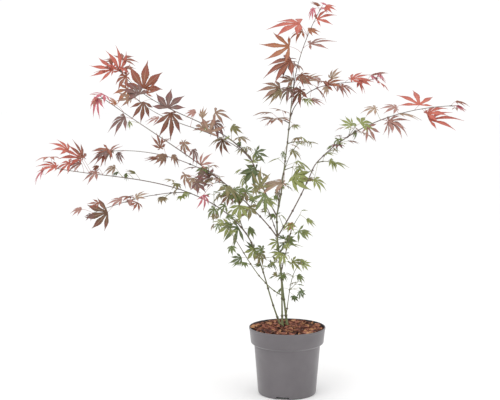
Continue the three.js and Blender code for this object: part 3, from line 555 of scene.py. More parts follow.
# The leaves of each mass that are placed by themselves.
STARS: dict[str, tuple[Star, ...]] = {
    "foliage_top": (
        Star(0.64, -20, 27, 172, 72, 0.9, 58),
        Star(0.63, -12, 12, 196, 38, 0.76, 66),
        Star(0.6, 3, 20, 4, 30, 0.76, 64),
        Star(0.8, 9, 8, 26, 44, 0.9, 58),
        Star(0.48, 17, 10, 12, 60, 0.76, 62, own="DUSKY_ROSE"),
        Star(0.42, -30, 15, 180, 66, 0.76, 44, own="COPPER"),
        Star(0.24, -15, 17, 200, 74, 0.76, 60),
        Star(0.22, -17, 15, 224, 50, 0.5, 70, own="PURPLE_BROWN"),
        Star(1, -17, 0, 235, 28, 1.2, 70),
        Star(0.95, 5, 8, 345, 26, 1.2, 70),
    ),
    "foliage_upper_right": (
        Star(0.52, 13, 8, 26, 46, 0.9, 56),
        Star(0.66, 10, 2, 12, 34, 0.9, 64),
        Star(0.62, 15, 0, 330, 32, 0.88, 60),
        Star(0.32, 13, -3, 332, 40, 0.5, 62),
        Star(0.15, 13, 3, 32, 44, 0.8, 58, own="COPPER"),
        Star(0.13, 13, 3, 280, 26, 0.5, 56),
        Star(0.22, 15, 16, 75, 36, 0.5, 40),
        Star(0, -3, -23, 355, 36, 0.5, 66),
        Star(0.85, 10, 12, 345, 30, 1.2, 74),
        Star(0, -18, 23, 22, 46, 0.5, 56, own="PALE_BRONZE"),
        Star(0.1, 8, 20, 150, 28, 0.5, 60),
        Star(0.42, 8, -6, 350, 36, 0.9, 70),
    ),
    "foliage_right": (
        Star(0.66, 12, 12, 90, 62, 0.93, 0, pitch=1.3),
        Star(0.75, 10, -28, 18, 72, 0.9, 62, own="CORAL"),
        Star(0.72, 15, -13, 42, 46, 0.93, 68, own="CORAL"),
        Star(0.52, -5, 15, 165, 38, 0.5, 58),
        Star(0.36, 18, -3, 8, 52, 0.5, 62),
        Star(0.38, 18, -8, 345, 50, 0.5, 58),
        Star(0.4, 5, -8, 282, 38, 0.5, 50),
        Star(0.18, 15, 5, 302, 44, 0.5, 34),
        Star(0.36, -15, 28, 180, 36, 0.4, 60),
        Star(0.06, 12, 12, 315, 28, 0.15),
        Star(0.97, 12, 0, 345, 24, 1.2, 64),
        Star(0, -14, 2, 265, 36, 0.12, 50),
        Star(0.5, 5, 2, 4, 56, 0.5, 76, own="PALE_BRONZE"),
    ),
    "foliage_upper_left": (
        Star(0.97, -6, 2, 84, 58, 0.9, 48),
        Star(0.93, -30, 20, 168, 58, 0.92, 42),
        Star(0.86, -14, 22, 190, 42, 0.8),
        Star(0.88, 32, -14, 84, 66, 0.76, 30),
        Star(0.75, 0, 6, 60, 40, 0.76, 50),
        Star(0.82, -25, 0, 228, 44, 0.65, 30, own="COPPER"),
        Star(0.7, -25, -3, 265, 54, 0.65, 35, own="DARK_RUST"),
        Star(0.55, -16, 8, 90, 56, 0.5, 0, pitch=0.3, own="PURPLE_BROWN"),
        Star(0.52, -22, 2, 275, 70, 0.62, 38),
        Star(0.22, -22, 30, 320, 52, 0.5, own="PURPLE_BROWN"),
        Star(0.3, 10, 38, 355, 48, 0.38, 58, own="BRONZE"),
        Star(0.35, -3, 15, 95, 30, 0.36, 40, own="PALE_BRONZE"),
        Star(0.16, -18, 0, 250, 42, 0.3, 50, own="UMBER"),
        Star(0.26, -22, 10, 190, 30, 0.2, 60),
        Star(0.15, 0, 35, 328, 34, 0.36, 60),
        Star(0, 15, 12, 350, 42, 0.12, 48),
        Star(0.06, -8, 20, 275, 24, 0.12, 60),
    ),
    "foliage_upper_side": (
        Star(0.7, -28, 5, 178, 34, 0.5, 65, own="DUSKY_ROSE"),
        Star(0.55, 15, 35, 170, 28, 0.5, 60, own="DUSKY_ROSE"),
    ),
    "foliage_middle_left": (
        Star(0.97, -12, 0, 240, 42, 1.2),
        Star(0.72, -15, 5, 210, 54, 0.5, 58, own="PURPLE_BROWN"),
        Star(0.45, -8, -18, 95, 36, 0.55, 60, own="DARK_RUST"),
        Star(0.35, 18, 12, 278, 34, 0.5, 62),
        Star(0.28, 22, 10, 300, 40, 0.5, 60),
        Star(0.66, -20, 5, 225, 20, 0.2),
        Star(0.8, -16, 18, 130, 26, 0.76, 65),
        Star(0.05, -18, 14, 60, 38, 0.5, own="DUSKY_ROSE"),
        Star(0.02, -22, 16, 283, 34, 0.05, 28),
    ),
    "foliage_side_left": (
        Star(0.85, -20, -3, 200, 44, 0.4, 74, own="BRONZE"),
        Star(0.78, -14, -3, 262, 32, 0.5, 50, own="PURPLE_BROWN"),
        Star(0.97, -10, 0, 192, 42, 0.5, 66, own="PURPLE_BROWN"),
        Star(0.2, -8, 8, 268, 34, 0.5),
        Star(0.08, -5, 10, 305, 34, 0.5, 58),
    ),
    "foliage_left": (
        Star(0.88, -16, 8, 168, 46, 0.9, 66),
        Star(0.8, -14, 52, 152, 42, 0.9, 72),
        Star(0.7, -22, 36, 148, 54, 0.9, 72),
        Star(0.68, -20, 42, 120, 44, 0.76, 66),
        Star(0.74, -5, 22, 180, 44, 0.8, 66, own="DUSKY_ROSE"),
        Star(0.78, -20, 22, 186, 42, 0.9, 64, own="CORAL"),
        Star(0.6, -15, 25, 270, 20, 0.5),
        Star(0.6, -15, 8, 206, 40, 0.5, 60, own="DUSKY_ROSE"),
        Star(0.46, -15, 25, 186, 36, 0.38, 66, own="PALE_BRONZE"),
        Star(0.45, -15, 12, 190, 22, 0.12, 60),
        Star(0.38, -18, 15, 265, 22, 0.2),
        Star(0.33, -12, 15, 140, 28, 0.3, 60),
    ),
    "foliage_low_left": (
        Star(0.64, -14, -16, 196, 66, 0.62, 22, pitch=-0.25, own="UMBER"),
        Star(0.3, -12, 0, 268, 28, 0.5, own="DUSKY_ROSE"),
        Star(0.38, -15, 3, 186, 36, 0.6, 62, own="DUSKY_ROSE"),
        Star(0.3, 10, 8, 34, 32, 0.36, 62, own="PALE_BRONZE"),
        Star(0.8, -10, 15, 172, 26, 0.8, 60),
        Star(1, -24, 10, 178, 28, 0.8, 66, own="DUSKY_ROSE"),
    ),
    "foliage_whorl": (
        Star(0.8, -12, 5, 180, 58, 0.38, 58, own="BRONZE"),
        Star(0.7, -12, 0, 208, 54, 0.38, 68, own="BRONZE_GREEN"),
        Star(0.1, 0, 25, 148, 38, 0.4, 50, own="BRONZE"),
        Star(0.3, 3, 10, 222, 50, 0.38, 60, own="BRONZE_GREEN"),
        Star(0, 20, 5, 234, 48, 0.62, 50, own="DARK_RUST"),
        Star(0, 17, 25, 62, 34, 0.5, 30, pitch=0.5, own="PALE_BRONZE"),
    ),
    "foliage_heart": (
        Star(1, -4, -27, 350, 66, 0.1, 14, pitch=-0.25, own="LIGHT_GREEN"),
        Star(0, -1, -32, 190, 76, 0.8, 88, own="PALE_BRONZE"),
    ),
    "foliage_high": (
        Star(0, -7, -20, 230, 24, 0.08),
    ),
    "foliage_back": (
        Star(0.5, 3, 10, 325, 36, 0.2, 66),
    ),
    "foliage_front": (
        Star(1, 12, 2, 92, 48, 0.2, 50, own="OLIVE"),
        Star(0.9, 20, -10, 242, 58, 0.1, 24, own="GREEN"),
        Star(0.5, 8, -12, 350, 40, 0.12, 55),
    ),
    "foliage_arch": (
        Star(0, -5, 8, 228, 52, 0.05, 22, own="DEEP_GREEN"),
        Star(0, -2, 12, 180, 50, 0.05, 58, own="DEEP_GREEN"),
    ),
    "foliage_shoulder": (
        Star(0, -2, -17, 266, 46, 0.14, 8, own="LIGHT_GREEN"),
        Star(0, 20, -22, 280, 40, 0.22, 34, own="OLIVE"),
        Star(0.5, -8, 15, 180, 38, 0.1, 55),
        Star(0.4, -4, 16, 328, 40, 0.1, 42),
        Star(0.5, -10, 0, 230, 32, 0.5, 40),
        Star(0, 14, 8, 200, 46, 0.3, 66, own="BRONZE_GREEN"),
        Star(1, 0, -25, 205, 38, 0.1, 48),
    ),
    "foliage_wing": (
        Star(1, -23, -26, 285, 38, 1.2, 42),
        Star(1, -49, 12, 266, 48, 0.38, 40, own="PALE_BRONZE"),
        Star(1, -40, 5, 322, 34, 0.3, 50),
        Star(1, -66, 22, 250, 34, 0.5, own="BRONZE"),
    ),
    "foliage_elbow": (
        Star(0.2, -8, -2, 218, 62, 0.05, 38, own="DEEP_GREEN"),
        Star(0.3, -22, 0, 165, 30, 0.08, 55),
        Star(1, -50, 10, 225, 40, 0.1, 42),
        Star(0, 12, 5, 340, 34, 0.12, 60),
    ),
    "foliage_knee": (
        Star(0, -42, 5, 205, 40, 0.05, 56, own="DEEP_GREEN"),
        Star(0, -10, 25, 235, 38, 0.08, 26),
        Star(0, 2, 20, 300, 40, 0.2, 40, own="OLIVE"),
        Star(0, -12, 22, 130, 32, 0.1, 40),
    ),
    "foliage_low": (
        Star(0, -2, 30, 195, 34, 0.05, 40),
        Star(0, 5, 3, 183, 34, 0.1, 56),
    ),
    "foliage_middle": (
        Star(0, -15, -17, 270, 36, 0.05, own="DEEP_GREEN"),
        Star(0, -8, -10, 2, 32, 0.1, 50),
        Star(0.5, -5, 10, 262, 32, 0.8, 24, own="COPPER"),
        Star(0.3, 15, 0, 318, 36, 0.12, 26),
        Star(1, 15, -10, 332, 32, 0.2, 64),
    ),
    "foliage_small_right": (
        Star(0.9, -15, 8, 345, 40, 0.1, 54),
        Star(0.1, 24, -2, 300, 26, 0.12, 28),
        Star(0, 12, -5, 265, 22, 0.12, 30),
        Star(0.5, 10, 2, 332, 28, 0.15, 54),
        Star(0.5, -20, 10, 180, 30, 0.1, 50),
    ),
    "foliage_right_low": (
        Star(0.8, 5, 5, 320, 36, 0.1, 60),
        Star(0, -10, -41, 328, 42, 0.12, 53),
    ),
}


@dataclass
class Grown:
    """What a shoot bears: its twigs, its leaves and the nodes they stand at."""

    twigs: list[Line] = field(default_factory=list)
    leaves: list[Leaf] = field(default_factory=list)
    nodes: list[float] = field(default_factory=list)


@dataclass(frozen=True)
class GrowthRule:
    """The seeded rule by which shoots bear twigs and leaves."""

    twig_share: float = 0.16
    twig_length: float = 1.25
    twig_leaf: float = 0.85
    twig_forward: float = 0.9
    twig_rise: float = 0.2
    last_pair: float = 0.97
    steep: float = 0.95
    pair_turn: float = 90.0
    turn_spread: float = 25.0
    over_share: float = 0.6
    end_leaf: float = 0.6
    end_stalk: float = 0.5
    size_spread: float = 0.2
    scatter: float = 0.4
    forward: float = 0.55
    rise: float = 0.25
    bow: float = 0.35
    stalk_parts: Pair = (0.55, 0.45)
    front_spread: float = 0.35
    outward: float = 0.25
    lean: float = 0.5
    blade_turn: float = 35.0
    tint_spread: float = 0.09
    star_depth: float = 18.0
    star_nearer: float = 6.0
    star_roll: float = 10.0
    star_side: float = 0.4
    star_pitch: float = 0.2
    pair_seed: float = 0.37
    side_seed: float = 0.11
    twig_seed: float = 3.0
    end_seed: float = 5.1

    def leaf(self, node: Vector, way: Vector, side: Vector, mass: Mass, u: float, seed: float) -> Leaf:
        """Places one leaf.

        Args:
            node: Where its stalk leaves the shoot.
            way: The way ahead along the shoot.
            side: The side of the shoot that the leaf stands on.
            mass: The mass that it belongs to.
            u: How far along the shoot it is, from 0 to 1.
            seed: The leaf's own seed.

        Returns:
            The leaf in its place.
        """
        size = mix(*mass.size, u) * (1.0 + swing(seed, 1, self.size_spread))
        stalk = mix(*mass.stalk, u) * (1.0 + swing(seed, 2, self.size_spread))
        jitter = stray(seed, 3, self.scatter)
        out = blend((side, 1.0), (way, self.forward), (UP, self.rise), (jitter, 1.0))
        bowed = blend((out, 1.0), (UP, -self.bow))
        first, second = self.stalk_parts
        heart = node + out * (stalk * first) + bowed * (stalk * second)
        turned = mass.front + swing(seed, 6, self.front_spread)
        lean = Vector((swing(seed, 7, self.lean), 0.0, 0.0))
        face = blend((UP, 1.0 - turned), (FRONT, turned), (out, self.outward), (lean, 1.0))
        hang = blend((bowed, 1.0), (UP, -mass.droop))
        ahead = (hang - face * hang.dot(face)).normalized()
        ahead = Matrix.Rotation(math.radians(swing(seed, 9, self.blade_turn)), 3, face) @ ahead
        tint = mix(*mass.tint, u) + swing(seed, 10, self.tint_spread)
        return Leaf(Vector(node), heart, ahead, face, size, tint, seed)

    def star(self, line: Line, star: Star, seed: float) -> Leaf:
        """Places one leaf where its star says.

        Args:
            line: The shoot that bears it.
            star: Where it shows, and how it lies.
            seed: The leaf's own seed.

        Returns:
            The leaf in its place.
        """
        node = line.place(star.at * line.length)[0]
        depth = swing(seed, 1, self.star_depth) - self.star_nearer
        heart = node + Vector((star.right, depth, star.up))
        turn = math.radians(star.turn)
        roll = math.radians(star.roll + swing(seed, 7, self.star_roll))
        way = Vector((math.cos(turn), 0.0, math.sin(turn)))
        side = way.cross(FRONT)
        if side.z + swing(seed, 8, self.star_side) < 0.0:
            side = -side
        pitch = star.pitch + swing(seed, 9, self.star_pitch)
        face = blend((FRONT, math.cos(roll)), (side, math.sin(roll)), (way, pitch))
        ahead = (way - face * way.dot(face)).normalized()
        return Leaf(node, heart, ahead, face, star.size, star.tint, seed, star.own)

    def shoot(self, line: Line, mass: Mass, seed: float, young: bool = False) -> Grown:
        """Grows the twigs and leaves of one shoot.

        Args:
            line: The shoot's own line.
            mass: The sizes, tints and seeds to grow by.
            seed: The shoot's seed.
            young: Whether this is a twig, which bears leaves alone.

        Returns:
            All that the shoot bears.
        """
        grown = Grown()
        for k in range(mass.pairs):
            u = mass.first + (self.last_pair - mass.first) * (k / max(1, mass.pairs - 1))
            point, ahead = line.place(u * line.length)
            steep = abs(ahead.z) > self.steep
            across = Vector((1.0, 0.0, 0.0)) if steep else ahead.cross(UP).normalized()
            over = across.cross(ahead)
            turn = math.radians(mass.turn + self.pair_turn * k + swing(seed, 20 + k, self.turn_spread))
            grown.nodes.append(u * line.length)
            for sign in (1.0, -1.0):
                key = seed + self.pair_seed * k + self.side_seed * sign
                lift = self.over_share * sign * math.sin(turn)
                side = across * (sign * math.cos(turn)) + over * lift
                if not young and k < mass.pairs - 1 and chance(key, 11) < self.twig_share:
                    self.twig(grown, point, ahead, side, mass, u, key)
                else:
                    grown.leaves.append(self.leaf(point, ahead, side, mass, u, key))
        point, ahead = line.place(line.length)
        size, stalk = mass.size[1] * self.end_leaf, mass.stalk[1] * self.end_stalk
        last = replace(mass, size=(0.0, size), stalk=(0.0, stalk))
        grown.leaves.append(self.leaf(point, ahead, ahead, last, 1.0, seed + self.end_seed))
        return grown

    def twig(
        self, grown: Grown, point: Vector, ahead: Vector, side: Vector, mass: Mass, u: float, key: float
    ) -> None:
        """Adds a twig, with its own pair of leaves and end leaf, to what a shoot bears.

        Args:
            grown: What the shoot bears.
            point: Where the twig starts.
            ahead: The shoot's way ahead there.
            side: The side that the twig leaves on.
            mass: The mass that the shoot grows by.
            u: How far along the shoot the twig starts, from 0 to 1.
            key: The twig's own seed.
        """
        way = blend((side, 1.0), (ahead, self.twig_forward), (UP, self.twig_rise))
        length = mix(*mass.stalk, u) * self.twig_length
        line = Line([point, point + way * length])
        size = mix(*mass.size, u) * self.twig_leaf
        tint = mix(*mass.tint, u)
        bearing = replace(mass, pairs=1, first=self.last_pair, size=(size, size), tint=(tint, tint))
        grown.twigs.append(line)
        grown.leaves.extend(self.shoot(line, bearing, key + self.twig_seed, True).leaves)


@dataclass(frozen=True)
class Shoot:
    """A leafy shoot: the mass that it grows by, all that it bears, and the solid it stands for."""

    mass: Mass
    grown: Grown
    home: str = ""
    wood: Line | None = None


@dataclass
class Plant:
    """The living plant as lines and leaves, from its limbs to its finest sprays."""

    rule: GrowthRule
    internode: float = 41.0
    bare_below: float = 265.0
    limb_share: float = 0.26
    node_share: float = 0.34
    limb_leaf: float = 40.0
    stem_tint: Pair = (0.04, 0.14)
    bough_tint: Pair = (0.04, 0.5)
    spray_forward: Pair = (0.5, 1.2)
    spray_rise: float = 0.15
    spray_length: Pair = (6.0, 34.0)
    spray_size: Pair = (0.38, 0.68)
    spray_stalk: float = 0.6
    spray_first: Pair = (0.6, 0.97)
    spray_front: Pair = (0.0, 0.5)
    spray_droop: float = 0.5
    spray_tint: float = 0.04
    bark_seed: float = 11.0
    limb_seed: float = 311.0
    limb_step: float = 0.53
    star_seed: float = 31.0
    star_step: float = 0.17
    node_seed: float = 70.0
    node_step: float = 0.41
    side_step: float = 0.13
    shoots: list[Shoot] = field(default_factory=list)

    def grow(self) -> None:
        """Grows the middle line of every limb and mass, and then every leaf."""
        for limb in LIMBS.values():
            foot = Vector(limb.foot) if limb.foot else LIMBS[limb.on].line.place(limb.at)[0]
            limb.line = Line.grown(foot, limb.reaches)
        for name, mass in MASSES.items():
            if mass.end:
                limb = LIMBS[mass.end]
                mass.line = limb.line.stretch(limb.bare, limb.line.length)
            else:
                foot = LIMBS[mass.on].line.place(mass.at)[0]
                mass.line = Line.grown(foot, [mass.shoot])
            grown = self.rule.shoot(mass.line, mass, mass.seed)
            for k, star in enumerate(STARS.get(name, ())):
                seed = mass.seed + self.star_seed + self.star_step * k
                grown.leaves.append(self.rule.star(mass.line, star, seed))
            self.shoots.append(Shoot(mass, grown, name))
            for k, distance in enumerate(grown.nodes):
                seed = mass.seed + self.node_seed + self.node_step * k
                self.sprays(mass.line, distance, seed, self.node_share, mass.size, mass.tint, mass.hazy)
        for number, name in enumerate(LIMBS):
            self.limb_sprays(number, name)

    def bare_nodes(self, limb: Limb, number: int) -> list[float]:
        """Finds where the nodes of a limb's bare part stand.

        Args:
            limb: The limb.
            number: Its place in the list of limbs.

        Returns:
            Their distances from its foot, in order.
        """
        length = limb.bare or limb.line.length
        seed = self.bark_seed + number
        found = []
        distance = self.internode * mix(0.4, 0.8, chance(seed, 1))
        while distance < length - 6.0:
            found.append(distance)
            distance += self.internode * (1.0 + swing(seed + distance, 2, 0.3))
        return found

    def limb_sprays(self, number: int, name: str) -> None:
        """Grows small sprays from the nodes of a limb's bare part.

        Args:
            number: The limb's place in the list of limbs.
            name: Its name. The leaves of a stem stay green to its end.
        """
        limb = LIMBS[name]
        sizes = (self.limb_leaf, self.limb_leaf)
        tints = self.stem_tint if name.startswith("stem") else self.bough_tint
        for k, distance in enumerate(self.bare_nodes(limb, number)):
            if limb.line.place(distance)[0].z >= self.bare_below:
                seed = self.limb_seed + number + self.limb_step * k
                self.sprays(limb.line, distance, seed, self.limb_share, sizes, tints)

    def sprays(
        self, line: Line, distance: float, seed: float, likely: float,
        sizes: Pair, tints: Pair, hazy: bool = False,
    ) -> None:
        """Grows a pair of small sprays at a node, or one, or none.

        Args:
            line: The line that they grow from.
            distance: How far along it the node is.
            seed: The node's own seed.
            likely: How likely each side is to bear one.
            sizes: The lengths of full-grown leaves at the line's foot and at its tip.
            tints: Their places on the scale of tints there.
            hazy: Whether they are out in the light.
        """
        point, ahead = line.place(distance)
        share = distance / line.length
        side = Matrix.Rotation(math.tau * chance(seed, 14), 3, ahead) @ square_to(ahead)
        for sign in (1.0, -1.0):
            key = seed + self.side_step * sign
            if chance(key, 12) > likely:
                continue
            forward = mix(*self.spray_forward, chance(key, 15))
            way = blend((side * sign, 1.0), (ahead, forward), (UP, self.spray_rise))
            twig = Line([point, point + way * mix(*self.spray_length, chance(key, 16) ** 2)])
            size = mix(*sizes, share) * mix(*self.spray_size, chance(key, 13))
            stalk = size * self.spray_stalk
            tint = mix(*tints, share)
            small = Mass(
                pairs=1, first=mix(*self.spray_first, chance(key, 17)), turn=180.0 * chance(key, 18),
                size=(size, size), stalk=(stalk, stalk),
                front=mix(*self.spray_front, chance(key, 19)), droop=self.spray_droop,
                tint=(tint, tint + self.spray_tint), seed=key, hazy=hazy,
            )
            grown = self.rule.shoot(twig, small, key, True)
            self.shoots.append(Shoot(small, grown, wood=twig))


# Finishes


Colour = tuple[float, float, float, float]


def colour(code: str) -> Colour:
    """Turns a six-figure colour code into the linear colour that a shader takes.

    Args:
        code: Red, green and blue as two hexadecimal figures each.

    Returns:
        Red, green, blue and alpha.
    """
    shares = [int(code[i : i + 2], 16) / 255.0 for i in (0, 2, 4)]
    linear = [s / 12.92 if s <= 0.04045 else ((s + 0.055) / 1.055) ** 2.4 for s in shares]
    return (linear[0], linear[1], linear[2], 1.0)


class NodeDesk:
    """A new material with its shader, and short ways to add nodes to it."""

    def __init__(self, name: str) -> None:
        """Starts a material with an empty shader.

        Args:
            name: The material's name.
        """
        self.material = bpy.data.materials.new(name)
        self.material.use_nodes = True
        self.tree = self.material.node_tree
        self.shader = self.tree.nodes["Principled BSDF"]
        self.place = self.tree.nodes.new("ShaderNodeTexCoord")

    def set(self, socket: str, value: float | Colour) -> None:
        """Sets one of the shader's own sockets."""
        self.shader.inputs[socket].default_value = value

    def link(self, source: Socket, target: Socket) -> None:
        """Joins two sockets."""
        self.tree.links.new(source, target)

    def noise(self, scale: float, detail: float = 3.0, rough: float = 0.55) -> Socket:
        """Adds a noise in the object's own space.

        Args:
            scale: How fine it is.
            detail: How many finer layers it has.
            rough: How strong those are.

        Returns:
            Its value, from 0 to 1.
        """
        node = self.tree.nodes.new("ShaderNodeTexNoise")
        node.inputs["Scale"].default_value = scale
        node.inputs["Detail"].default_value = detail
        node.inputs["Roughness"].default_value = rough
        self.link(self.place.outputs["Object"], node.inputs["Vector"])
        return node.outputs["Fac"]

    def cells(self, scale: float) -> Socket:
        """Adds scattered cells in the object's own space.

        Args:
            scale: How fine they are.

        Returns:
            The distance from the nearest cell's middle.
        """
        node = self.tree.nodes.new("ShaderNodeTexVoronoi")
        node.inputs["Scale"].default_value = scale
        self.link(self.place.outputs["Object"], node.inputs["Vector"])
        return node.outputs["Distance"]

    def attribute(self, name: str) -> Socket:
        """Reads a number that each point of the mesh carries.

        Args:
            name: The number's name.

        Returns:
            The number.
        """
        node = self.tree.nodes.new("ShaderNodeAttribute")
        node.attribute_name = name
        return node.outputs["Fac"]

    def range(self, value: Socket, low: float, high: float, to_low: float, to_high: float) -> Socket:
        """Maps a value from one range to another, held at its ends.

        Args:
            value: The value.
            low: Where its own range starts.
            high: Where its own range ends.
            to_low: What the start becomes.
            to_high: What the end becomes.

        Returns:
            The mapped value.
        """
        node = self.tree.nodes.new("ShaderNodeMapRange")
        ends = {"From Min": low, "From Max": high, "To Min": to_low, "To Max": to_high}
        for socket, number in ends.items():
            node.inputs[socket].default_value = number
        self.link(value, node.inputs["Value"])
        return node.outputs["Result"]

    def mixed(self, share: Socket, first: Colour | Socket, second: Colour) -> Socket:
        """Mixes two colours.

        Args:
            share: The second colour's share.
            first: The first colour, or another node's colour.
            second: The second colour.

        Returns:
            The mixed colour.
        """
        node = self.tree.nodes.new("ShaderNodeMix")
        node.data_type = "RGBA"
        self.link(share, node.inputs["Factor"])
        if isinstance(first, Socket):
            self.link(first, node.inputs["A"])
        else:
            node.inputs["A"].default_value = first
        node.inputs["B"].default_value = second
        return node.outputs["Result"]

    def total(self, first: Socket, second: Socket) -> Socket:
        """Adds two values, and holds the sum between 0 and 1.

        Args:
            first: One value.
            second: The other.

        Returns:
            The sum.
        """
        node = self.tree.nodes.new("ShaderNodeMath")
        node.operation = "ADD"
        node.use_clamp = True
        self.link(first, node.inputs[0])
        self.link(second, node.inputs[1])
        return node.outputs[0]

    def roughen(self, scale: float, ends: Pair) -> None:
        """Lets the roughness wander between two values over a noise of a scale."""
        self.link(self.range(self.noise(scale), 0.3, 0.7, *ends), self.shader.inputs["Roughness"])

    def relief(self, height: Socket, strength: float, depth: float) -> None:
        """Raises the surface by a bump.

        Args:
            height: The height of each place, from 0 to 1.
            strength: How strongly the bump shows.
            depth: How high 1 is, in metres.
        """
        node = self.tree.nodes.new("ShaderNodeBump")
        node.inputs["Strength"].default_value = strength
        node.inputs["Distance"].default_value = depth
        self.link(height, node.inputs["Height"])
        self.link(node.outputs["Normal"], self.shader.inputs["Normal"])


@dataclass(frozen=True)
class LeafFinish:
    """A thin living leaf: its blade's plain tint, redder tips, paler veins and a pale underside."""

    name: str
    base: str
    slot: str
    pale: str = "c4ac9c"
    paling: float = 0.42
    vein_paling: float = 0.34
    blush: str = "8f3a42"
    blushing: float = 0.22
    gloss: float = 0.35
    roughness: Pair = (0.42, 0.62)
    gloss_grain: float = 140.0
    relief_grain: float = 900.0
    relief_depth: float = 0.0004

    def stuff(self, part: str, other: str, share: float) -> Material:
        """Makes the material of one part of the leaf.

        Args:
            part: The part's name, which the material's name ends with.
            other: The colour that the base leans to.
            share: How far it leans.

        Returns:
            The new material.
        """
        desk = NodeDesk(self.name + part)
        desk.set("Base Color", Vector(colour(self.base)).lerp(Vector(colour(other)), share))
        desk.set("Specular IOR Level", self.gloss)
        desk.roughen(self.gloss_grain, self.roughness)
        desk.relief(desk.noise(self.relief_grain, 2.0), 0.35, self.relief_depth)
        return desk.material

    def make(self) -> list[Material]:
        """Makes the leaf's materials.

        Returns:
            Those of the blade, its tips and its veins, each followed by its underside's.
        """
        under = self.stuff("_under", self.pale, self.paling)
        blade = self.stuff("", self.pale, 0.0)
        tips = self.stuff("_tips", self.blush, self.blushing)
        veins = self.stuff("_veins", self.pale, self.vein_paling)
        return [blade, under, tips, under, veins, under]


class LeafPart(Enum):
    """The parts of a blade, by the place of their materials in the leaf's list."""

    BLADE = 0
    TIP = 2
    VEIN = 4


class LeafTint(Enum):
    """The tints that leaves turn through, from green to coral and pink."""

    DEEP_GREEN = LeafFinish("leaf_deep_green", "55653d", "green_leaves", blushing=0.04)
    GREEN = LeafFinish("leaf_green", "677443", "green_leaves", blushing=0.04)
    LIGHT_GREEN = LeafFinish("leaf_light_green", "889153", "green_leaves", blushing=0.04)
    OLIVE = LeafFinish("leaf_olive", "7a774c", "green_leaves", blushing=0.12)
    BRONZE_GREEN = LeafFinish("leaf_bronze_green", "7c6e4d", "bronze_leaves", blushing=0.12)
    BRONZE = LeafFinish("leaf_bronze", "8f725e", "bronze_leaves")
    PALE_BRONZE = LeafFinish("leaf_pale_bronze", "a89079", "bronze_leaves")
    PURPLE_BROWN = LeafFinish("leaf_purple_brown", "735852", "bronze_leaves")
    DUSKY_ROSE = LeafFinish("leaf_dusky_rose", "aa7f74", "bronze_leaves")
    UMBER = LeafFinish("leaf_umber", "6b4d38", "rust_leaves")
    DARK_RUST = LeafFinish("leaf_dark_rust", "7e523e", "rust_leaves")
    RUST = LeafFinish("leaf_rust", "8f5641", "rust_leaves")
    COPPER = LeafFinish("leaf_copper", "a86f4f", "rust_leaves")
    CORAL = LeafFinish("leaf_coral", "c06656", "coral_leaves")
    PINK = LeafFinish("leaf_pink", "c46c78", "coral_leaves")


# Each tint's range ends at a number of the rule's scale, and a spray there takes one of its names.
TINTS: tuple[tuple[float, tuple[LeafTint, ...]], ...] = (
    (0.14, (LeafTint.DEEP_GREEN, LeafTint.GREEN, LeafTint.GREEN, LeafTint.LIGHT_GREEN)),
    (0.27, (LeafTint.GREEN, LeafTint.OLIVE, LeafTint.LIGHT_GREEN, LeafTint.BRONZE_GREEN)),
    (0.42, (LeafTint.OLIVE, LeafTint.BRONZE_GREEN, LeafTint.PURPLE_BROWN, LeafTint.BRONZE)),
    (0.58, (LeafTint.PURPLE_BROWN, LeafTint.BRONZE, LeafTint.PURPLE_BROWN, LeafTint.DARK_RUST)),
    (0.72, (LeafTint.DARK_RUST, LeafTint.RUST, LeafTint.PURPLE_BROWN, LeafTint.RUST)),
    (0.84, (LeafTint.RUST, LeafTint.RUST, LeafTint.COPPER, LeafTint.DARK_RUST)),
    (0.95, (LeafTint.CORAL, LeafTint.CORAL, LeafTint.CORAL, LeafTint.RUST)),
    (1.1, (LeafTint.PINK, LeafTint.CORAL, LeafTint.PINK, LeafTint.CORAL)),
    (9.9, (LeafTint.PINK,)),
)

# Masses far out in the light take a paler tint in place of some.
HAZY: dict[LeafTint, LeafTint] = {
    LeafTint.OLIVE: LeafTint.PALE_BRONZE,
    LeafTint.BRONZE_GREEN: LeafTint.PALE_BRONZE,
    LeafTint.BRONZE: LeafTint.PALE_BRONZE,
    LeafTint.PURPLE_BROWN: LeafTint.DUSKY_ROSE,
    LeafTint.DARK_RUST: LeafTint.DUSKY_ROSE,
}


@dataclass(frozen=True)
class BarkFinish:
    """Smooth young bark that turns from green to purplish brown, darker at each node."""

    name: str = "maple_bark"
    green: str = "737c52"
    brown: str = "6b5655"
    dark: str = "4a3a35"
    mottle: float = 0.3
    mottle_grain: float = 160.0
    fleck: float = 0.35
    fleck_grain: float = 700.0
    gloss: float = 0.4
    roughness: Pair = (0.5, 0.75)
    gloss_grain: float = 300.0
    relief_grain: float = 1100.0
    relief_depth: float = 0.0003

    def make(self) -> Material:
        """Makes the bark's material, which reads the age and knot of each point.

        Returns:
            The material.
        """
        desk = NodeDesk(self.name)
        mottle = desk.range(desk.noise(self.mottle_grain, 4.0), 0.3, 0.7, -self.mottle, self.mottle)
        age = desk.total(desk.attribute("age"), mottle)
        skin = desk.mixed(age, colour(self.green), colour(self.brown))
        fleck = desk.range(desk.cells(self.fleck_grain), 0.0, 0.25, self.fleck, 0.0)
        skin = desk.mixed(desk.total(desk.attribute("knot"), fleck), skin, colour(self.dark))
        desk.link(skin, desk.shader.inputs["Base Color"])
        desk.set("Specular IOR Level", self.gloss)
        desk.roughen(self.gloss_grain, self.roughness)
        desk.relief(desk.noise(self.relief_grain, 4.0), 0.6, self.relief_depth)
        return desk.material


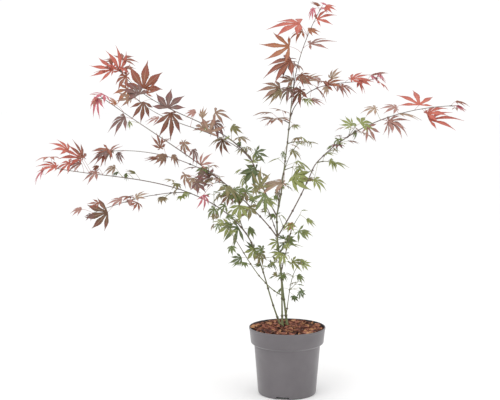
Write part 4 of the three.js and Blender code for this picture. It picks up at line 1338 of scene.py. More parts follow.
@dataclass(frozen=True)
class SpeckledFinish:
    """A matt stuff whose colour wanders between two tones, with its own grain."""

    name: str
    base: str
    other: str
    patch: float
    grain: float
    roughness: Pair
    depth: float
    gloss: float = 0.3
    bloom: float = 0.0

    def make(self) -> Material:
        """Makes the material.

        Returns:
            The material.
        """
        desk = NodeDesk(self.name)
        share = desk.range(desk.noise(self.patch, 4.0), 0.35, 0.65, 0.0, 1.0)
        skin = desk.mixed(share, colour(self.base), colour(self.other))
        desk.link(skin, desk.shader.inputs["Base Color"])
        desk.set("Specular IOR Level", self.gloss)
        desk.set("Sheen Weight", self.bloom)
        desk.set("Sheen Roughness", 0.4)
        desk.roughen(self.patch * 2.0, self.roughness)
        desk.relief(desk.noise(self.grain, 4.0), 0.5, self.depth)
        return desk.material


POT_OUTSIDE = SpeckledFinish(
    "pot_plastic", "6a6669", "646063", 14.0, 1400.0, (0.45, 0.55), 0.0001, gloss=0.4, bloom=0.35
)
POT_INSIDE = SpeckledFinish(
    "pot_dark_inside", "3b3839", "332f30", 30.0, 1400.0, (0.5, 0.62), 0.0001, gloss=0.4
)
SOIL_FINISH = SpeckledFinish("damp_soil", "2e1d16", "1c120e", 160.0, 500.0, (0.85, 0.98), 0.002)
STALK_GREEN = SpeckledFinish("stalk_green", "8d9262", "9a8a66", 60.0, 900.0, (0.5, 0.65), 0.0001)
STALK_RED = SpeckledFinish("stalk_red", "9b5f5c", "a9766c", 60.0, 900.0, (0.5, 0.65), 0.0001)
BUD_FINISH = SpeckledFinish("bud_scale", "5a3a34", "442b28", 300.0, 900.0, (0.45, 0.6), 0.0002)


class ChipTone(Enum):
    """The tones of bark chip in the mulch."""

    RED_BROWN = SpeckledFinish("chip_red_brown", "87523e", "5a3325", 120.0, 700.0, (0.75, 0.95), 0.0012)
    DARK = SpeckledFinish("chip_dark", "55302a", "341d17", 120.0, 700.0, (0.75, 0.95), 0.0012)
    TAN = SpeckledFinish("chip_tan", "c39268", "a06f4e", 120.0, 700.0, (0.75, 0.95), 0.0012)
    ROSE = SpeckledFinish("chip_rose", "a66c57", "804e40", 120.0, 700.0, (0.75, 0.95), 0.0012)


# Pieces


def in_scene(name: str, data: bpy.types.ID) -> bpy.types.Object:
    """Puts new data in the scene.

    Args:
        name: The object's name.
        data: Its mesh, camera or light.

    Returns:
        The new object.
    """
    item = bpy.data.objects.new(name, data)
    bpy.context.scene.collection.objects.link(item)
    return item


def as_mesh(bm: BMesh, name: str) -> Mesh:
    """Turns a bmesh into a mesh, and frees it.

    Args:
        bm: The bmesh.
        name: The mesh's name.

    Returns:
        The mesh.
    """
    mesh = bpy.data.meshes.new(name)
    bm.to_mesh(mesh)
    bm.free()
    return mesh


def add_piece(
    name: str,
    mesh: Mesh,
    materials: Iterable[Material],
    nodes: Iterable[str],
) -> bpy.types.Object:
    """Puts a finished mesh in the scene as a piece of the plant.

    Args:
        name: The piece's name.
        mesh: Its mesh, in metres and in place.
        materials: Its materials, in the order of its faces' numbers.
        nodes: The solids that it stands for.

    Returns:
        The new object.
    """
    piece = in_scene(name, mesh)
    for material in materials:
        mesh.materials.append(material)
    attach(piece, BODY)
    names = sorted(set(nodes))
    if names:
        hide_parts(*names)
    LOG.info("%s: %d faces", name, len(mesh.polygons))
    return piece


def finished_mesh(bm: BMesh, name: str, sharp: float = 60.0) -> Mesh:
    """Turns a bmesh into a smooth-shaded mesh, and frees it.

    Args:
        bm: The bmesh.
        name: The mesh's name.
        sharp: The angle in degrees over which an edge stays sharp.

    Returns:
        The mesh.
    """
    mesh = as_mesh(bm, name)
    mesh.shade_smooth()
    mesh.set_sharp_from_angle(angle=math.radians(sharp))
    return mesh


def drop_into(heap: BMesh, bm: BMesh) -> None:
    """Adds a small bmesh to a bigger one, and frees it.

    Args:
        heap: The bigger bmesh.
        bm: The small one.
    """
    mesh = as_mesh(bm, "dropped")
    heap.from_mesh(mesh)
    bpy.data.meshes.remove(mesh)


def turned_solid(profile: Iterable[Pair], steps: int) -> BMesh:
    """Turns a profile about the upright axis into a closed solid.

    Args:
        profile: Radii and heights in millimetres, from the axis round to the axis again.
        steps: How many stretches the circle is cut into.

    Returns:
        The solid, in metres.
    """
    bm = bmesh.new()
    verts = [bm.verts.new((radius * MM, 0.0, height * MM)) for radius, height in profile]
    edges = [bm.edges.new(pair) for pair in zip(verts, verts[1:])]
    bmesh.ops.spin(
        bm, geom=verts + edges, cent=(0.0, 0.0, 0.0), axis=(0.0, 0.0, 1.0),
        angle=math.tau, steps=steps, use_merge=True,
    )
    bmesh.ops.remove_doubles(bm, verts=bm.verts, dist=1e-6)
    bmesh.ops.dissolve_degenerate(bm, dist=1e-6, edges=bm.edges)
    bmesh.ops.recalc_face_normals(bm, faces=bm.faces)
    return bm


def cut_away(piece_mesh: Mesh, cutter: Mesh) -> Mesh:
    """Cuts one closed mesh out of another.

    Args:
        piece_mesh: The mesh to cut.
        cutter: The closed mesh that is taken out of it.

    Returns:
        The mesh that is left.
    """
    whole = in_scene("whole", piece_mesh)
    knife = in_scene("knife", cutter)
    cut = whole.modifiers.new("cut", "BOOLEAN")
    cut.operation = "DIFFERENCE"
    cut.solver = "EXACT"
    cut.object = knife
    graph = bpy.context.evaluated_depsgraph_get()
    left = bpy.data.meshes.new_from_object(whole.evaluated_get(graph))
    for item in (whole, knife):
        bpy.data.objects.remove(item)
    return left


@dataclass
class NurseryPot:
    """The round pot: its wall, its collar, its foot with notches, and its drained floor."""

    height: float = 168.0
    rim_radius: float = 95.0
    collar_radius: float = 91.0
    collar_height: float = 39.0
    shoulder_height: float = 5.0
    body_radius: float = 82.5
    base_radius: float = 73.0
    foot_radius: float = 70.5
    edge_rise: float = 6.0
    wall: float = 2.2
    lip_wall: float = 3.0
    floor_rise: float = 7.0
    floor_thickness: float = 2.4
    skirt_width: float = 3.5
    disc_radius: float = 30.0
    disc_slope: float = 4.0
    drain_radius: float = 5.0
    drain_ring: float = 52.0
    drains: int = 6
    notches: int = 3
    notch_turn: float = 259.5
    notch_width: float = 37.0
    notch_top_width: float = 31.0
    notch_height: float = 6.5
    steps: int = 96
    foot_round: Pair = (0.7, 0.4)
    lip_bead: float = 0.5
    lip_drops: Pair = (5.0, 4.2)
    lip_inset: float = 0.4
    lip_lean: float = 1.0
    roundings: tuple[float, ...] = (0.8, 2.0, 1.0, 2.4, 0.8)
    ring_slack: Pair = (0.1, 3.5)
    notch_depth: float = 14.0
    overcut: float = 4.0
    drain_depth: float = 14.0
    drain_sides: int = 24
    sharp: float = 40.0

    def outside(self) -> list[Pair]:
        """Draws the outer side of the profile, in millimetres.

        Returns:
            Radii and heights, from the axis under the floor to the rim.
        """
        shoulder = self.height - self.collar_height
        skirt = self.foot_radius - self.skirt_width
        out, up = self.foot_round
        lip = self.rim_radius + self.lip_bead
        return [
            (0.0, 0.0),
            (self.disc_radius, 0.0),
            (self.disc_radius + self.disc_slope, self.floor_rise),
            (skirt, self.floor_rise),
            (skirt, 0.0),
            (self.foot_radius, 0.0),
            (mix(self.foot_radius, self.base_radius, out), self.edge_rise * up),
            (self.base_radius, self.edge_rise),
            (self.body_radius, shoulder - self.shoulder_height),
            (self.collar_radius, shoulder),
            (self.rim_radius - self.lip_inset, self.height - self.lip_drops[0]),
            (lip, self.height - self.lip_drops[1]),
            (lip, self.height),
        ]

    def inside(self) -> list[Pair]:
        """Draws the inner side of the profile, in millimetres.

        Returns:
            Radii and heights, from the rim down to the axis over the floor.
        """
        shoulder = self.height - self.collar_height
        floor = self.floor_rise + self.floor_thickness
        return [
            (self.rim_radius - self.lip_wall + self.lip_lean, self.height),
            (self.collar_radius - self.wall, shoulder),
            (self.body_radius - self.wall, shoulder - self.shoulder_height),
            (self.base_radius - self.wall, floor),
            (self.disc_radius + self.disc_slope, floor),
            (self.disc_radius, self.floor_thickness),
            (0.0, self.floor_thickness),
        ]

    def rounded(self, bm: BMesh) -> None:
        """Rounds the rings where the wall turns, as a mould leaves them.

        Args:
            bm: The turned wall.
        """
        shoulder = self.height - self.collar_height
        rings = (
            (self.height, self.rim_radius),
            (shoulder, self.collar_radius),
            (shoulder - self.shoulder_height, self.body_radius),
            (self.edge_rise, self.base_radius),
            (0.0, self.foot_radius),
        )
        level, inward = self.ring_slack
        for (height, reach), offset in zip(rings, self.roundings):
            edges = [
                edge
                for edge in bm.edges
                if all(abs(v.co.z / MM - height) < level for v in edge.verts)
                and all(math.hypot(v.co.x, v.co.y) / MM > reach - inward for v in edge.verts)
            ]
            bmesh.ops.bevel(
                bm, geom=edges, offset=offset * MM, offset_type="OFFSET", segments=3,
                profile=0.5, affect="EDGES", material=-1, clamp_overlap=True,
            )

    def cutter(self) -> Mesh:
        """Makes the notches of the foot and the drains of the floor.

        Returns:
            All of them as one mesh, to cut away.
        """
        bm = bmesh.new()
        for i in range(self.notches):
            made = bmesh.ops.create_cube(bm, size=1.0)["verts"]
            for vert in made:
                top = vert.co.z > 0.0
                width = self.notch_top_width if top else self.notch_width + self.overcut
                vert.co.y *= width
                vert.co.x = self.foot_radius + vert.co.x * self.notch_depth
                vert.co.z = self.notch_height if top else -self.overcut
            turn = math.radians(self.notch_turn + 360.0 / self.notches * i)
            bmesh.ops.rotate(bm, verts=made, cent=(0, 0, 0), matrix=Matrix.Rotation(turn, 3, "Z"))
        for i in range(self.drains):
            turn = math.radians(360.0 / self.drains * (i + 0.5))
            middle = Vector((math.cos(turn), math.sin(turn), 0.0)) * self.drain_ring
            middle.z = self.floor_rise
            bmesh.ops.create_cone(
                bm, cap_ends=True, segments=self.drain_sides, radius1=self.drain_radius,
                radius2=self.drain_radius, depth=self.drain_depth,
                matrix=Matrix.Translation(middle),
            )
        bmesh.ops.scale(bm, vec=(MM, MM, MM), verts=bm.verts)
        return as_mesh(bm, "pot_cutter")

    def build(self) -> None:
        """Makes the pot, grey outside and dark inside, and puts it in the scene."""
        bm = turned_solid(self.outside() + self.inside(), self.steps)
        self.rounded(bm)
        mesh = cut_away(finished_mesh(bm, "pot_wall"), self.cutter())
        mesh.shade_smooth()
        mesh.set_sharp_from_angle(angle=math.radians(self.sharp))
        floor = self.floor_rise * MM
        for face in mesh.polygons:
            middle = face.center
            inward = face.normal.x * middle.x + face.normal.y * middle.y < 0.0
            face.material_index = 1 if inward and middle.z > floor else 0
        add_piece("nursery_pot", mesh, (POT_OUTSIDE.make(), POT_INSIDE.make()), ["pot"])


@dataclass
class MulchedSoil:
    """The soil that fills the pot, and the bark chips that lie on it."""

    level: float = SOIL_LEVEL
    wall_level: float = 164.0
    patch_radius: float = 34.0
    edge_radius: float = 91.8
    wall_line: tuple[Pair, ...] = ((70.2, 9.9), (79.6, 122.0), (79.6, 125.0), (88.0, 130.5))
    rings: int = 14
    steps: int = 72
    sink: float = 2.5
    hollow: float = 1.5
    lumps: float = 1.2
    lumps_above: float = 150.0
    lumps_scale: float = 9000.0
    chips: int = 620
    seed: float = 61.0
    tone_ends: tuple[float, ...] = (0.4, 0.66, 0.83, 1.0)
    chip_length: Pair = (5.0, 17.0)
    chip_smallness: float = 1.6
    chip_inset: Pair = (0.45, 0.5)
    chip_slimness: Pair = (0.4, 0.85)
    chip_height: Pair = (1.6, 4.2)
    chip_tilt: Pair = (0.5, 0.45)
    chip_taper: float = 0.55
    chip_chipping: float = 0.11
    heap_rise: Pair = (0.8, 2.6)

    def surface(self, radius: float) -> float:
        """The height of the soil at a distance from the middle."""
        share = (radius - self.patch_radius) / (self.edge_radius - self.patch_radius)
        return mix(self.level, self.wall_level, min(max(share, 0.0), 1.0) ** self.hollow)

    def build(self) -> None:
        """Makes the soil and its chips."""
        across = [self.edge_radius * i / self.rings for i in range(self.rings, -1, -1)]
        surface = [(radius, self.surface(radius) - self.sink) for radius in across]
        bm = turned_solid([(0.0, self.wall_line[0][1]), *self.wall_line, *surface], self.steps)
        for vert in bm.verts:
            if vert.co.z > self.lumps_above * MM:
                key = round(vert.co.x * self.lumps_scale) + 0.37 * round(vert.co.y * self.lumps_scale)
                vert.co.z += swing(key, 3, self.lumps) * MM
        mesh = finished_mesh(bm, "soil", 180.0)
        add_piece("potting_soil_fill", mesh, [SOIL_FINISH.make()], ["potting_soil"])
        heaps = {tone: bmesh.new() for tone in ChipTone}
        for i in range(self.chips):
            pick = chance(self.seed + i, 9)
            tone = next(tone for tone, end in zip(ChipTone, self.tone_ends) if pick < end)
            self.chip(heaps[tone], self.seed + i, i / self.chips)
        for tone, bm in heaps.items():
            mesh = finished_mesh(bm, tone.value.name, 25.0)
            add_piece(tone.value.name, mesh, [tone.value.make()], ["potting_soil"])

    def chip(self, heap: BMesh, seed: float, share: float) -> None:
        """Adds one rough flake of bark, lying on the soil.

        Args:
            heap: The heap that it joins.
            seed: The chip's own seed.
            share: How far through the heap it is; later chips lie a little higher.
        """
        length = mix(*self.chip_length, chance(seed, 1) ** self.chip_smallness)
        width = length * mix(*self.chip_slimness, chance(seed, 2))
        height = mix(*self.chip_height, chance(seed, 3))
        most = self.edge_radius - length * self.chip_inset[0] - self.chip_inset[1]
        far = math.sqrt(chance(seed, 4)) * most
        turn = math.tau * chance(seed, 5)
        bm = bmesh.new()
        bmesh.ops.create_cube(bm, size=1.0)
        bmesh.ops.subdivide_edges(bm, edges=bm.edges, cuts=1, use_grid_fill=True)
        for i, vert in enumerate(bm.verts):
            taper = 1.0 - self.chip_taper * abs(vert.co.x * 2.0) ** 2
            vert.co.y *= taper
            vert.co.z *= 0.55 + 0.45 * taper
            vert.co += stray(seed, 20 + i * 3, self.chip_chipping)
        tilt = Matrix.Rotation(swing(seed, 6, self.chip_tilt[0]), 4, "X")
        tilt = tilt @ Matrix.Rotation(swing(seed, 7, self.chip_tilt[1]), 4, "Y")
        spin = Matrix.Rotation(math.tau * chance(seed, 8), 4, "Z")
        rise = self.surface(far) - self.heap_rise[0] + share * self.heap_rise[1]
        at = Vector((math.cos(turn) * far, math.sin(turn) * far, rise))
        size = Matrix.Diagonal((length, width, height, 1.0))
        place = Matrix.Scale(MM, 4) @ Matrix.Translation(at) @ spin @ tilt @ size
        bmesh.ops.transform(bm, matrix=place, verts=bm.verts)
        drop_into(heap, bm)


def roll_tube(
    bm: BMesh,
    line: Line,
    radius_at: Callable[[float, float], float],
    sides: int,
    spacing: float,
    marks: Callable[[float], dict[str, float]] | None = None,
    drift: Callable[[float], Vector] | None = None,
) -> None:
    """Rolls a grid into a closed tube along a line.

    Args:
        bm: The bmesh that the tube joins.
        line: The line through its middle, in millimetres.
        radius_at: The radius at a distance along the line and a turn round it.
        sides: How many sides the tube has.
        spacing: The distance between its rings, in millimetres.
        marks: Values that points carry, by the layer's name, at a distance along the line.
        drift: How far the middle strays from the line at a distance along it.
    """
    rings = max(2, math.ceil(line.length / spacing))
    frames = line.frames(rings)
    made = bmesh.ops.create_grid(bm, x_segments=rings, y_segments=sides, size=1.0)["verts"]
    for vert in made:
        ring = round((vert.co.x + 1.0) / 2.0 * rings)
        turn = (vert.co.y + 1.0) * math.pi
        distance = line.length * ring / rings
        point, side, over = frames[ring]
        out = side * math.cos(turn) + over * math.sin(turn)
        middle = point + drift(distance) if drift else point
        vert.co = (middle + out * radius_at(distance, turn)) * MM
        if marks:
            for name, value in marks(distance).items():
                vert[bm.verts.layers.float[name]] = value
    bmesh.ops.remove_doubles(bm, verts=made, dist=1e-6)
    made = [vert for vert in made if vert.is_valid]
    rims = {edge for vert in made for edge in vert.link_edges if edge.is_boundary}
    bmesh.ops.holes_fill(bm, edges=list(rims), sides=0)
    bmesh.ops.recalc_face_normals(bm, faces=list({face for vert in made for face in vert.link_faces}))


@dataclass
class Wood:
    """Stems, boughs and twigs, each a tube with the bark's relief and its swollen nodes."""

    swell: float = 0.35
    least_swell: float = 0.35
    swell_length: float = 2.5
    kink: float = 0.8
    spacing: float = 2.4
    sides: int = 12
    collar: float = 0.9
    collar_length: float = 5.0
    slender: float = 0.84
    darkening: float = 0.72
    twig_radius: float = 0.85
    spray_radius: float = 0.72
    shoot_radii: Pair = (1.3, 0.8)
    bud_size: Pair = (0.65, 1.05)
    bud_shape: Pair = (0.75, 1.6)
    bough_age: Pair = (0.75, 0.95)
    stem_age: Pair = (0.05, 0.6)
    red_age: Pair = (0.9, 0.75)
    green_age: Pair = (0.45, 0.25)
    bud_turn: float = 30.0
    bud_lean: float = 0.55
    bud_proud: float = 0.35
    bud_rise: float = 1.1
    # Each ridge has its depth, its count round the limb, its twist and its share of the seed.
    ridges: tuple[tuple[float, ...], ...] = ((0.05, 2.0, 0.03, 1.0), (0.03, 5.0, -0.11, 3.0))
    buds: BMesh = field(init=False)

    def new_skin(self) -> BMesh:
        """Starts a skin, whose points carry their age and how near a node they are.

        Returns:
            The empty bmesh.
        """
        bm = bmesh.new()
        for name in ("age", "knot"):
            bm.verts.layers.float.new(name)
        return bm

    def skin(
        self, bm: BMesh, line: Line, radius: Radius,
        nodes: list[float], age: Pair, seed: float, kinked: bool, collared: bool,
    ) -> None:
        """Adds the bark of one limb.

        Args:
            bm: The skin that it joins.
            line: The limb's middle line.
            radius: Its radius at a distance from its foot.
            nodes: Where its nodes stand.
            age: How brown its bark is at its foot and at its tip.
            seed: The limb's own seed.
            kinked: Whether its middle strays a little at each node.
            collared: Whether its foot swells where it leaves its carrier.
        """

        def near(distance: float) -> float:
            """How near a node a distance is, from 0 to 1."""
            ways = [(distance - node) / self.swell_length for node in nodes]
            return max((math.exp(-(way**2)) for way in ways), default=0.0)

        def radius_at(distance: float, turn: float) -> float:
            """Finds the bark's radius, with its ridges, nodes and collar.

            Args:
                distance: The distance from the limb's foot.
                turn: The way round the limb, in radians.

            Returns:
                The radius in millimetres.
            """
            base = radius(distance) * self.slender
            ridge = 1.0
            for depth, count, twist, start in self.ridges:
                ridge += depth * math.sin(count * turn + twist * distance + start * seed)
            foot = self.collar * math.exp(-distance / self.collar_length) if collared else 0.0
            return base * ridge + near(distance) * (self.swell * base + self.least_swell) + foot

        def drift(distance: float) -> Vector:
            """Finds how far the middle strays from the line, most at each node.

            Args:
                distance: The distance from the limb's foot.

            Returns:
                The step aside in millimetres.
            """
            stops = [0.0, *nodes, line.length]
            for i, (low, high) in enumerate(zip(stops, stops[1:])):
                if distance <= high:
                    share = (distance - low) / max(high - low, 0.01)
                    here = stray(seed + i, 30, self.kink) if i > 0 else Vector()
                    last = i + 2 == len(stops)
                    there = Vector() if last else stray(seed + i + 1, 30, self.kink)
                    return here.lerp(there, share)
            return Vector()

        def marks(distance: float) -> dict[str, float]:
            """What the points at a distance carry."""
            share = distance / line.length
            return {"age": mix(*age, share), "knot": self.darkening * near(distance)}

        roll_tube(bm, line, radius_at, self.sides, self.spacing, marks, drift if kinked else None)

    def add_buds(self, line: Line, radius: Radius, nodes: list[float], seed: float) -> None:
        """Adds an opposite pair of buds at each node, every pair turned a quarter.

        Args:
            line: The middle line of the wood that they stand on.
            radius: Its radius at a distance along it.
            nodes: Where its nodes stand.
            seed: Its own seed.
        """
        for k, distance in enumerate(nodes):
            ahead = line.place(distance)[1]
            point = line.smooth(distance)
            across = square_to(ahead)
            turn = math.radians(90.0 * k + swing(seed, 50 + k, self.bud_turn))
            for sign in (1.0, -1.0):
                side = Matrix.Rotation(turn, 3, ahead) @ (across * sign)
                way = blend((ahead, 1.0), (side, self.bud_lean))
                size = mix(*self.bud_size, chance(seed + k, 7 + sign))
                at = point + side * (radius(distance) + self.bud_proud) + way * (self.bud_rise * size)
                turned = way.to_track_quat("Z", "Y").to_matrix().to_4x4()
                wide, long = [part * size for part in self.bud_shape]
                shape = Matrix.Diagonal((wide, wide, long, 1.0))
                bmesh.ops.create_icosphere(
                    self.buds, subdivisions=1, radius=1.0,
                    matrix=Matrix.Scale(MM, 4) @ Matrix.Translation(at) @ turned @ shape,
                )

    def build(self, plant: Plant) -> None:
        """Makes the stems, the boughs and the leafy ends, and their buds.

        Args:
            plant: The grown plant.
        """
        bark = BarkFinish().make()
        self.buds = bmesh.new()
        stems, boughs, twigs = self.new_skin(), self.new_skin(), self.new_skin()
        for number, (name, limb) in enumerate(LIMBS.items()):
            seed = plant.bark_seed + number
            bare = limb.line.stretch(0.0, limb.bare or limb.line.length)
            nodes = plant.bare_nodes(limb, number)
            skin, age = (boughs, self.bough_age) if name.startswith("bough") else (stems, self.stem_age)
            self.skin(skin, bare, limb.radius, nodes, age, seed, True, bool(limb.on))
            self.add_buds(bare, limb.radius, nodes, seed)
        for shoot in plant.shoots:
            self.shoot_wood(twigs, shoot)
        stem_names = [name for name in LIMBS if name.startswith("stem")]
        bough_names = [name for name in LIMBS if name.startswith("bough")]
        for piece, skin, slot, names in (
            ("stem_bark", stems, "green_bark", stem_names),
            ("bough_bark", boughs, "brown_bark", bough_names),
            ("twig_bark", twigs, "brown_bark", MASSES),
        ):
            add_piece(piece, finished_mesh(skin, piece), [bark], names)
        add_piece("buds", finished_mesh(self.buds, "buds"), [BUD_FINISH.make()], [])

    def shoot_wood(self, skin: BMesh, shoot: Shoot) -> None:
        """Adds the bark of a leafy shoot and of its twigs.

        Args:
            skin: The skin that it joins.
            shoot: The shoot.
        """
        mass = shoot.mass
        age = self.red_age if mass.tint[1] > RED_FROM else self.green_age
        if shoot.wood:
            wood = shoot.wood
            self.skin(skin, wood, lambda distance: self.spray_radius, [], age, mass.seed, False, True)
            return
        end = LIMBS[mass.end] if mass.end else None

        def radius(distance: float) -> float:
            """Finds the shoot's radius.

            Args:
                distance: The distance from the shoot's foot.

            Returns:
                The radius in millimetres.
            """
            if end:
                return end.radius(min(end.bare + distance, end.line.length))
            return mix(*self.shoot_radii, distance / mass.line.length)

        self.skin(skin, mass.line, radius, shoot.grown.nodes, age, mass.seed, False, not mass.end)
        self.add_buds(mass.line, radius, shoot.grown.nodes[1:], mass.seed)
        for number, twig in enumerate(shoot.grown.twigs):
            seed = mass.seed + number
            self.skin(skin, twig, lambda distance: self.twig_radius, [], age, seed, False, True)


@dataclass(frozen=True)
class LeafPattern:
    """A flat leaf with five or seven toothed lobes, the middle one of length one.

    A veined leaf has pale midribs and twice the teeth.
    """

    lobes: tuple[Pair, ...] = (
        (-124.0, 0.34), (-84.0, 0.74), (-42.0, 0.94), (0.0, 1.0),
        (42.0, 0.94), (84.0, 0.74), (124.0, 0.34),
    )
    sinus: Pair = (0.13, 0.042)
    width: float = 1.0
    veined: bool = False
    stations: tuple[float, ...] = (0.31, 0.51, 0.69)
    vein: tuple[float, ...] = (0.012, 0.01, 0.008)
    edge: tuple[Pair, ...] = (
        (0.31, 0.08), (0.49, 0.13), (0.51, 0.119), (0.67, 0.087), (0.69, 0.072), (0.85, 0.022),
    )
    teeth: tuple[Pair, ...] = (
        (0.4, 0.115), (0.413, 0.104), (0.59, 0.11), (0.603, 0.096), (0.77, 0.05), (0.78, 0.039),
    )

    def half_lobe(self, bm: BMesh) -> None:
        """Adds one half of a lobe that points along X, from its midrib out to its teeth.

        Args:
            bm: The leaf that it joins.
        """
        edge = sorted(self.edge + self.teeth) if self.veined else self.edge
        rim = {x: bm.verts.new((x, y * self.width, 0.0)) for x, y in edge}
        notch = bm.verts.new((*self.sinus, 0.0))
        heart, *rib, tip = [bm.verts.new((x, 0.0, 0.0)) for x in (0.0, *self.stations, 1.0)]
        inner = rib
        if self.veined:
            inner = [bm.verts.new((x, y, 0.0)) for x, y in zip(self.stations, self.vein)]
            veins = [(heart, rib[0], inner[0]), (rib[2], tip, inner[2])]
            veins += [(rib[i], rib[i + 1], inner[i + 1], inner[i]) for i in (0, 1)]
            for corners in veins:
                bm.faces.new(corners).material_index = LeafPart.VEIN.value
        bm.faces.new((heart, inner[0], rim[self.stations[0]], notch))
        ends = (*self.stations, 1.0)
        for i, (low, high) in enumerate(zip(ends, ends[1:])):
            outer = [vert for x, vert in rim.items() if low <= x <= high]
            face = bm.faces.new((inner[i], [*inner, tip][i + 1], *reversed(outer)))
            face.material_index = LeafPart.TIP.value if i > 0 else LeafPart.BLADE.value

    def lobe(self, bm: BMesh, turn: float, reach: float) -> tuple[bmesh.types.BMVert, ...]:
        """Adds one whole lobe.

        Args:
            bm: The leaf that it joins.
            turn: The way that it points, in degrees from the middle lobe.
            reach: Its length.

        Returns:
            The two points where it meets its neighbours, the right one first.
        """
        before = set(bm.verts)
        self.half_lobe(bm)
        made = [vert for vert in bm.verts if vert not in before]
        faces = list({face for vert in made for face in vert.link_faces})
        edges = list({edge for vert in made for edge in vert.link_edges})
        bmesh.ops.mirror(bm, geom=made + edges + faces, merge_dist=1e-4, axis="Y")
        made = [vert for vert in bm.verts if vert not in before]
        notches = [Vector((self.sinus[0], sign * self.sinus[1], 0.0)) for sign in (-1.0, 1.0)]
        meeting = [min(made, key=lambda vert: (vert.co - notch).length) for notch in notches]
        bmesh.ops.scale(bm, vec=(reach, reach, 1.0), verts=made)
        turned = Matrix.Rotation(math.radians(turn), 3, "Z")
        bmesh.ops.rotate(bm, cent=(0, 0, 0), matrix=turned, verts=made)
        return tuple(meeting)

    def cut(self) -> Mesh:
        """Makes the leaf, flat and face up.

        Returns:
            Its mesh.
        """
        bm = bmesh.new()
        meetings = [self.lobe(bm, turn, reach) for turn, reach in self.lobes]
        for (_, left), (right, _) in zip(meetings, meetings[1:]):
            middle = (left.co + right.co) / 2.0
            bmesh.ops.pointmerge(bm, verts=[left, right], merge_co=middle)
        bmesh.ops.remove_doubles(bm, verts=bm.verts, dist=0.004)
        bmesh.ops.recalc_face_normals(bm, faces=bm.faces)
        if sum(face.normal.z for face in bm.faces) < 0.0:
            bmesh.ops.reverse_faces(bm, faces=bm.faces)
        return as_mesh(bm, "flat_leaf")


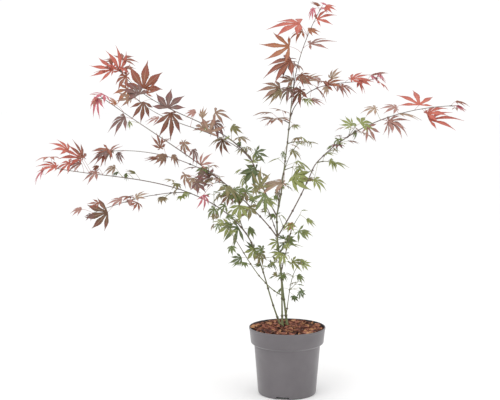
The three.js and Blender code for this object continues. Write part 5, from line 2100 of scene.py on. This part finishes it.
@dataclass
class Foliage:
    """The leaves on their stalks, joined by tint.

    A leaf too small for veins is a young one. It has broader lobes, and it hangs and closes more.
    """

    thickness: float = 0.32
    fold: float = 0.16
    size: Pair = (0.98, 1.2)
    veined_from: float = 34.0
    young_width: float = 1.22
    least_droop: float = 0.3
    droop: float = 0.75
    young_droop: float = 1.1
    lopside: float = 0.5
    sweep: float = 0.35
    closing: float = 0.3
    young_closing: float = 0.45
    stalk_radius: float = 0.42
    stalk_rise: float = 0.06
    stalk_stray: float = 0.05
    stalk_foot: Pair = (0.45, 1.6)
    stalk_tip: Pair = (0.15, 1.2)
    stalk_sides: int = 6
    stalk_rings: Pair = (2.0, 8.0)
    patterns: tuple[tuple[float, tuple[Pair, ...]], ...] = (
        (1.08, LeafPattern.lobes),
        (0.94, LeafPattern.lobes),
        (1.2, LeafPattern.lobes[1:-1]),
        (1.0, ((-76.0, 0.66), (-37.0, 0.9), (0.0, 1.0), (37.0, 0.9), (76.0, 0.66))),
        (0.86, ((-96.0, 0.5), (-50.0, 0.86), (0.0, 1.0), (44.0, 0.96), (88.0, 0.7))),
    )
    sheets: dict[LeafTint, BMesh] = field(default_factory=dict)
    stalks: dict[bool, BMesh] = field(default_factory=dict)
    homes: dict[LeafTint, set[str]] = field(default_factory=dict)

    def tint(self, leaf: Leaf, mass: Mass, spray: int) -> LeafTint:
        """Deals out a leaf's tint by its place on the scale and by its spray.

        Args:
            leaf: The leaf.
            mass: The mass that it belongs to.
            spray: The number of its spray in the mass.

        Returns:
            The tint that it shares with the leaves next to it.
        """
        if leaf.own:
            return LeafTint[leaf.own]
        names = next(names for end, names in TINTS if leaf.tint < end)
        found = names[int(chance(mass.seed + spray, 40) * len(names))]
        return HAZY.get(found, found) if mass.hazy else found

    def blade(self, sheet: BMesh, flat: Mesh, ways: list[float], leaf: Leaf) -> None:
        """Bends a flat leaf as its seed says, and adds it in its place.

        Args:
            sheet: The leaves that it joins.
            flat: The flat leaf.
            ways: The ways that its lobes point.
            leaf: Where it goes.
        """
        bm = bmesh.new()
        bm.from_mesh(flat)
        young = leaf.size < self.veined_from
        most = self.young_droop if young else self.droop
        droop = self.least_droop + most * chance(leaf.seed, 41) ** 2
        lopsided = swing(leaf.seed, 42, self.lopside)
        toward = math.tau * chance(leaf.seed, 43)
        sweep = swing(leaf.seed, 44, self.sweep)
        folded = chance(leaf.seed, 45)
        close = 1.0 - (self.young_closing * folded if young else self.closing * folded**2)
        for vert in bm.verts:
            far = math.hypot(vert.co.x, vert.co.y)
            if far < 1e-6:
                continue
            turn = math.atan2(vert.co.y, vert.co.x)
            nearest = min(ways, key=lambda way: abs(turn - way))
            off = far * abs(math.sin(turn - nearest))
            curl = droop * (1.0 + lopsided * math.cos(turn - toward))
            reach = math.sin(curl * far) / curl
            sink = (1.0 - math.cos(curl * far)) / curl
            turn = turn * close + sweep * far * far * 0.5
            vert.co = (reach * math.cos(turn), reach * math.sin(turn), off * self.fold * 2.0 - sink)
        across = leaf.face.cross(leaf.ahead)
        turned = Matrix((leaf.ahead, across, leaf.face)).transposed().to_4x4()
        size = Matrix.Scale(leaf.size * mix(*self.size, min(max(leaf.tint, 0.0), 1.0)), 4)
        place = Matrix.Scale(MM, 4) @ Matrix.Translation(leaf.heart) @ turned @ size
        bmesh.ops.transform(bm, matrix=place, verts=bm.verts)
        drop_into(sheet, bm)

    def stalk(self, leaf: Leaf) -> None:
        """Adds a leaf's stalk, which bows a little from its root to the blade's heart.

        Args:
            leaf: The leaf.
        """
        length = (leaf.heart - leaf.root).length
        rise = UP * (self.stalk_rise * length) + stray(leaf.seed, 60, self.stalk_stray * length)
        middle = leaf.root.lerp(leaf.heart, 0.5) + rise
        lower = leaf.root.lerp(middle, 0.5) + rise * 0.25
        upper = middle.lerp(leaf.heart, 0.5) + rise * 0.25
        line = Line([leaf.root, lower, middle, upper, leaf.heart])

        def radius_at(distance: float, _turn: float) -> float:
            """Finds the stalk's radius, which widens to both ends.

            Args:
                distance: The distance from the stalk's root.
                _turn: Not used, as a stalk is round.

            Returns:
                The radius in millimetres.
            """
            foot, foot_length = self.stalk_foot
            tip, tip_length = self.stalk_tip
            foot *= math.exp(-distance / foot_length)
            tip *= math.exp(-(line.length - distance) / tip_length)
            return self.stalk_radius + foot + tip

        bm = bmesh.new()
        least, most_rings = self.stalk_rings
        roll_tube(bm, line, radius_at, self.stalk_sides, max(least, length / most_rings))
        drop_into(self.stalks[leaf.tint > RED_FROM], bm)

    def build(self, plant: Plant) -> None:
        """Makes every leaf and stalk, joined by tint.

        Args:
            plant: The grown plant.
        """
        flats = {
            veined: [
                LeafPattern(width=width * broader, lobes=lobes, veined=veined).cut()
                for width, lobes in self.patterns
            ]
            for veined, broader in ((False, self.young_width), (True, 1.0))
        }
        self.sheets = {tint: bmesh.new() for tint in LeafTint}
        self.homes = {tint: set() for tint in LeafTint}
        self.stalks = {False: bmesh.new(), True: bmesh.new()}
        count = 0
        for shoot in plant.shoots:
            for number, leaf in enumerate(shoot.grown.leaves):
                tint = self.tint(leaf, shoot.mass, number // 3)
                veined = leaf.size > self.veined_from
                least = 0 if veined else 1
                kind = least + int(chance(leaf.seed, 46) * (len(self.patterns) - least))
                ways = [math.radians(lobe) for lobe, _ in self.patterns[kind][1]]
                self.blade(self.sheets[tint], flats[veined][kind], ways, leaf)
                if shoot.home:
                    self.homes[tint].add(shoot.home)
                self.stalk(leaf)
                count += 1
        for tint, bm in self.sheets.items():
            if not bm.verts:
                continue
            finish = tint.value
            mesh = finished_mesh(bm, finish.name, 180.0)
            piece = add_piece(finish.name, mesh, finish.make(), self.homes[tint])
            thick = piece.modifiers.new("thickness", "SOLIDIFY")
            thick.material_offset = 1
            thick.thickness = self.thickness * MM
            thick.offset = 0.0
        for red, finish in ((False, STALK_GREEN), (True, STALK_RED)):
            mesh = finished_mesh(self.stalks[red], finish.name)
            add_piece(finish.name, mesh, [finish.make()], [])
        LOG.info("%d leaves", count)


@dataclass
class Studio:
    """The pale floor, the soft lights and the camera at the photograph's angle."""

    camera_place: tuple[float, float, float] = (-0.093, -2.652, 0.7645)
    camera_pitch: float = 6.0
    lens: float = 77.76
    sensor: float = 36.0
    floor_size: float = 60.0
    sky_strength: float = 1.04
    aim: tuple[float, float, float] = (-0.08, 0.0, 0.5)

    def build(self) -> None:
        """Sets up the floor, the sky, the lights and the camera."""
        scene = bpy.context.scene
        scene.view_settings.view_transform = "Standard"
        scene.view_settings.look = "None"
        self.floor()
        world = bpy.data.worlds.new("studio")
        world.use_nodes = True
        sky = world.node_tree.nodes["Background"]
        sky.inputs["Color"].default_value = (1.0, 1.0, 1.0, 1.0)
        sky.inputs["Strength"].default_value = self.sky_strength
        scene.world = world
        self.light("key", (-1.6, -2.2, 2.6), 26.0, 2.2)
        self.light("fill", (2.4, -1.6, 1.6), 10.0, 2.6)
        camera = bpy.data.cameras.new("camera")
        camera.lens = self.lens
        camera.sensor_width = self.sensor
        holder = in_scene("camera", camera)
        holder.location = self.camera_place
        holder.rotation_euler = (math.radians(90.0 - self.camera_pitch), 0.0, 0.0)
        scene.camera = holder

    def floor(self) -> None:
        """Lays the pale floor."""
        bm = bmesh.new()
        bmesh.ops.create_grid(bm, x_segments=4, y_segments=4, size=self.floor_size / 2.0)
        mesh = as_mesh(bm, "floor")
        desk = NodeDesk("pale_floor")
        desk.set("Base Color", (0.97, 0.97, 0.97, 1.0))
        desk.set("Roughness", 0.9)
        desk.set("Specular IOR Level", 0.1)
        mesh.materials.append(desk.material)
        in_scene("floor", mesh)

    def light(self, name: str, place: tuple[float, float, float], power: float, size: float) -> None:
        """Hangs a soft square light that faces the plant.

        Args:
            name: The light's name.
            place: Where it hangs, in metres.
            power: Its power in watts.
            size: Its side in metres.
        """
        lamp = bpy.data.lights.new(name, "AREA")
        lamp.energy = power
        lamp.size = size
        holder = in_scene(name, lamp)
        holder.location = place
        way = Vector(self.aim) - Vector(place)
        holder.rotation_euler = way.to_track_quat("-Z", "Y").to_euler()


def main() -> None:
    """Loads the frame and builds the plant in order."""
    logging.basicConfig(level=logging.INFO, format="%(name)s: %(message)s")
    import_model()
    Studio().build()
    plant = Plant(GrowthRule())
    plant.grow()
    NurseryPot().build()
    MulchedSoil().build()
    Wood().build(plant)
    Foliage().build(plant)


if __name__ == "__main__":
    main()
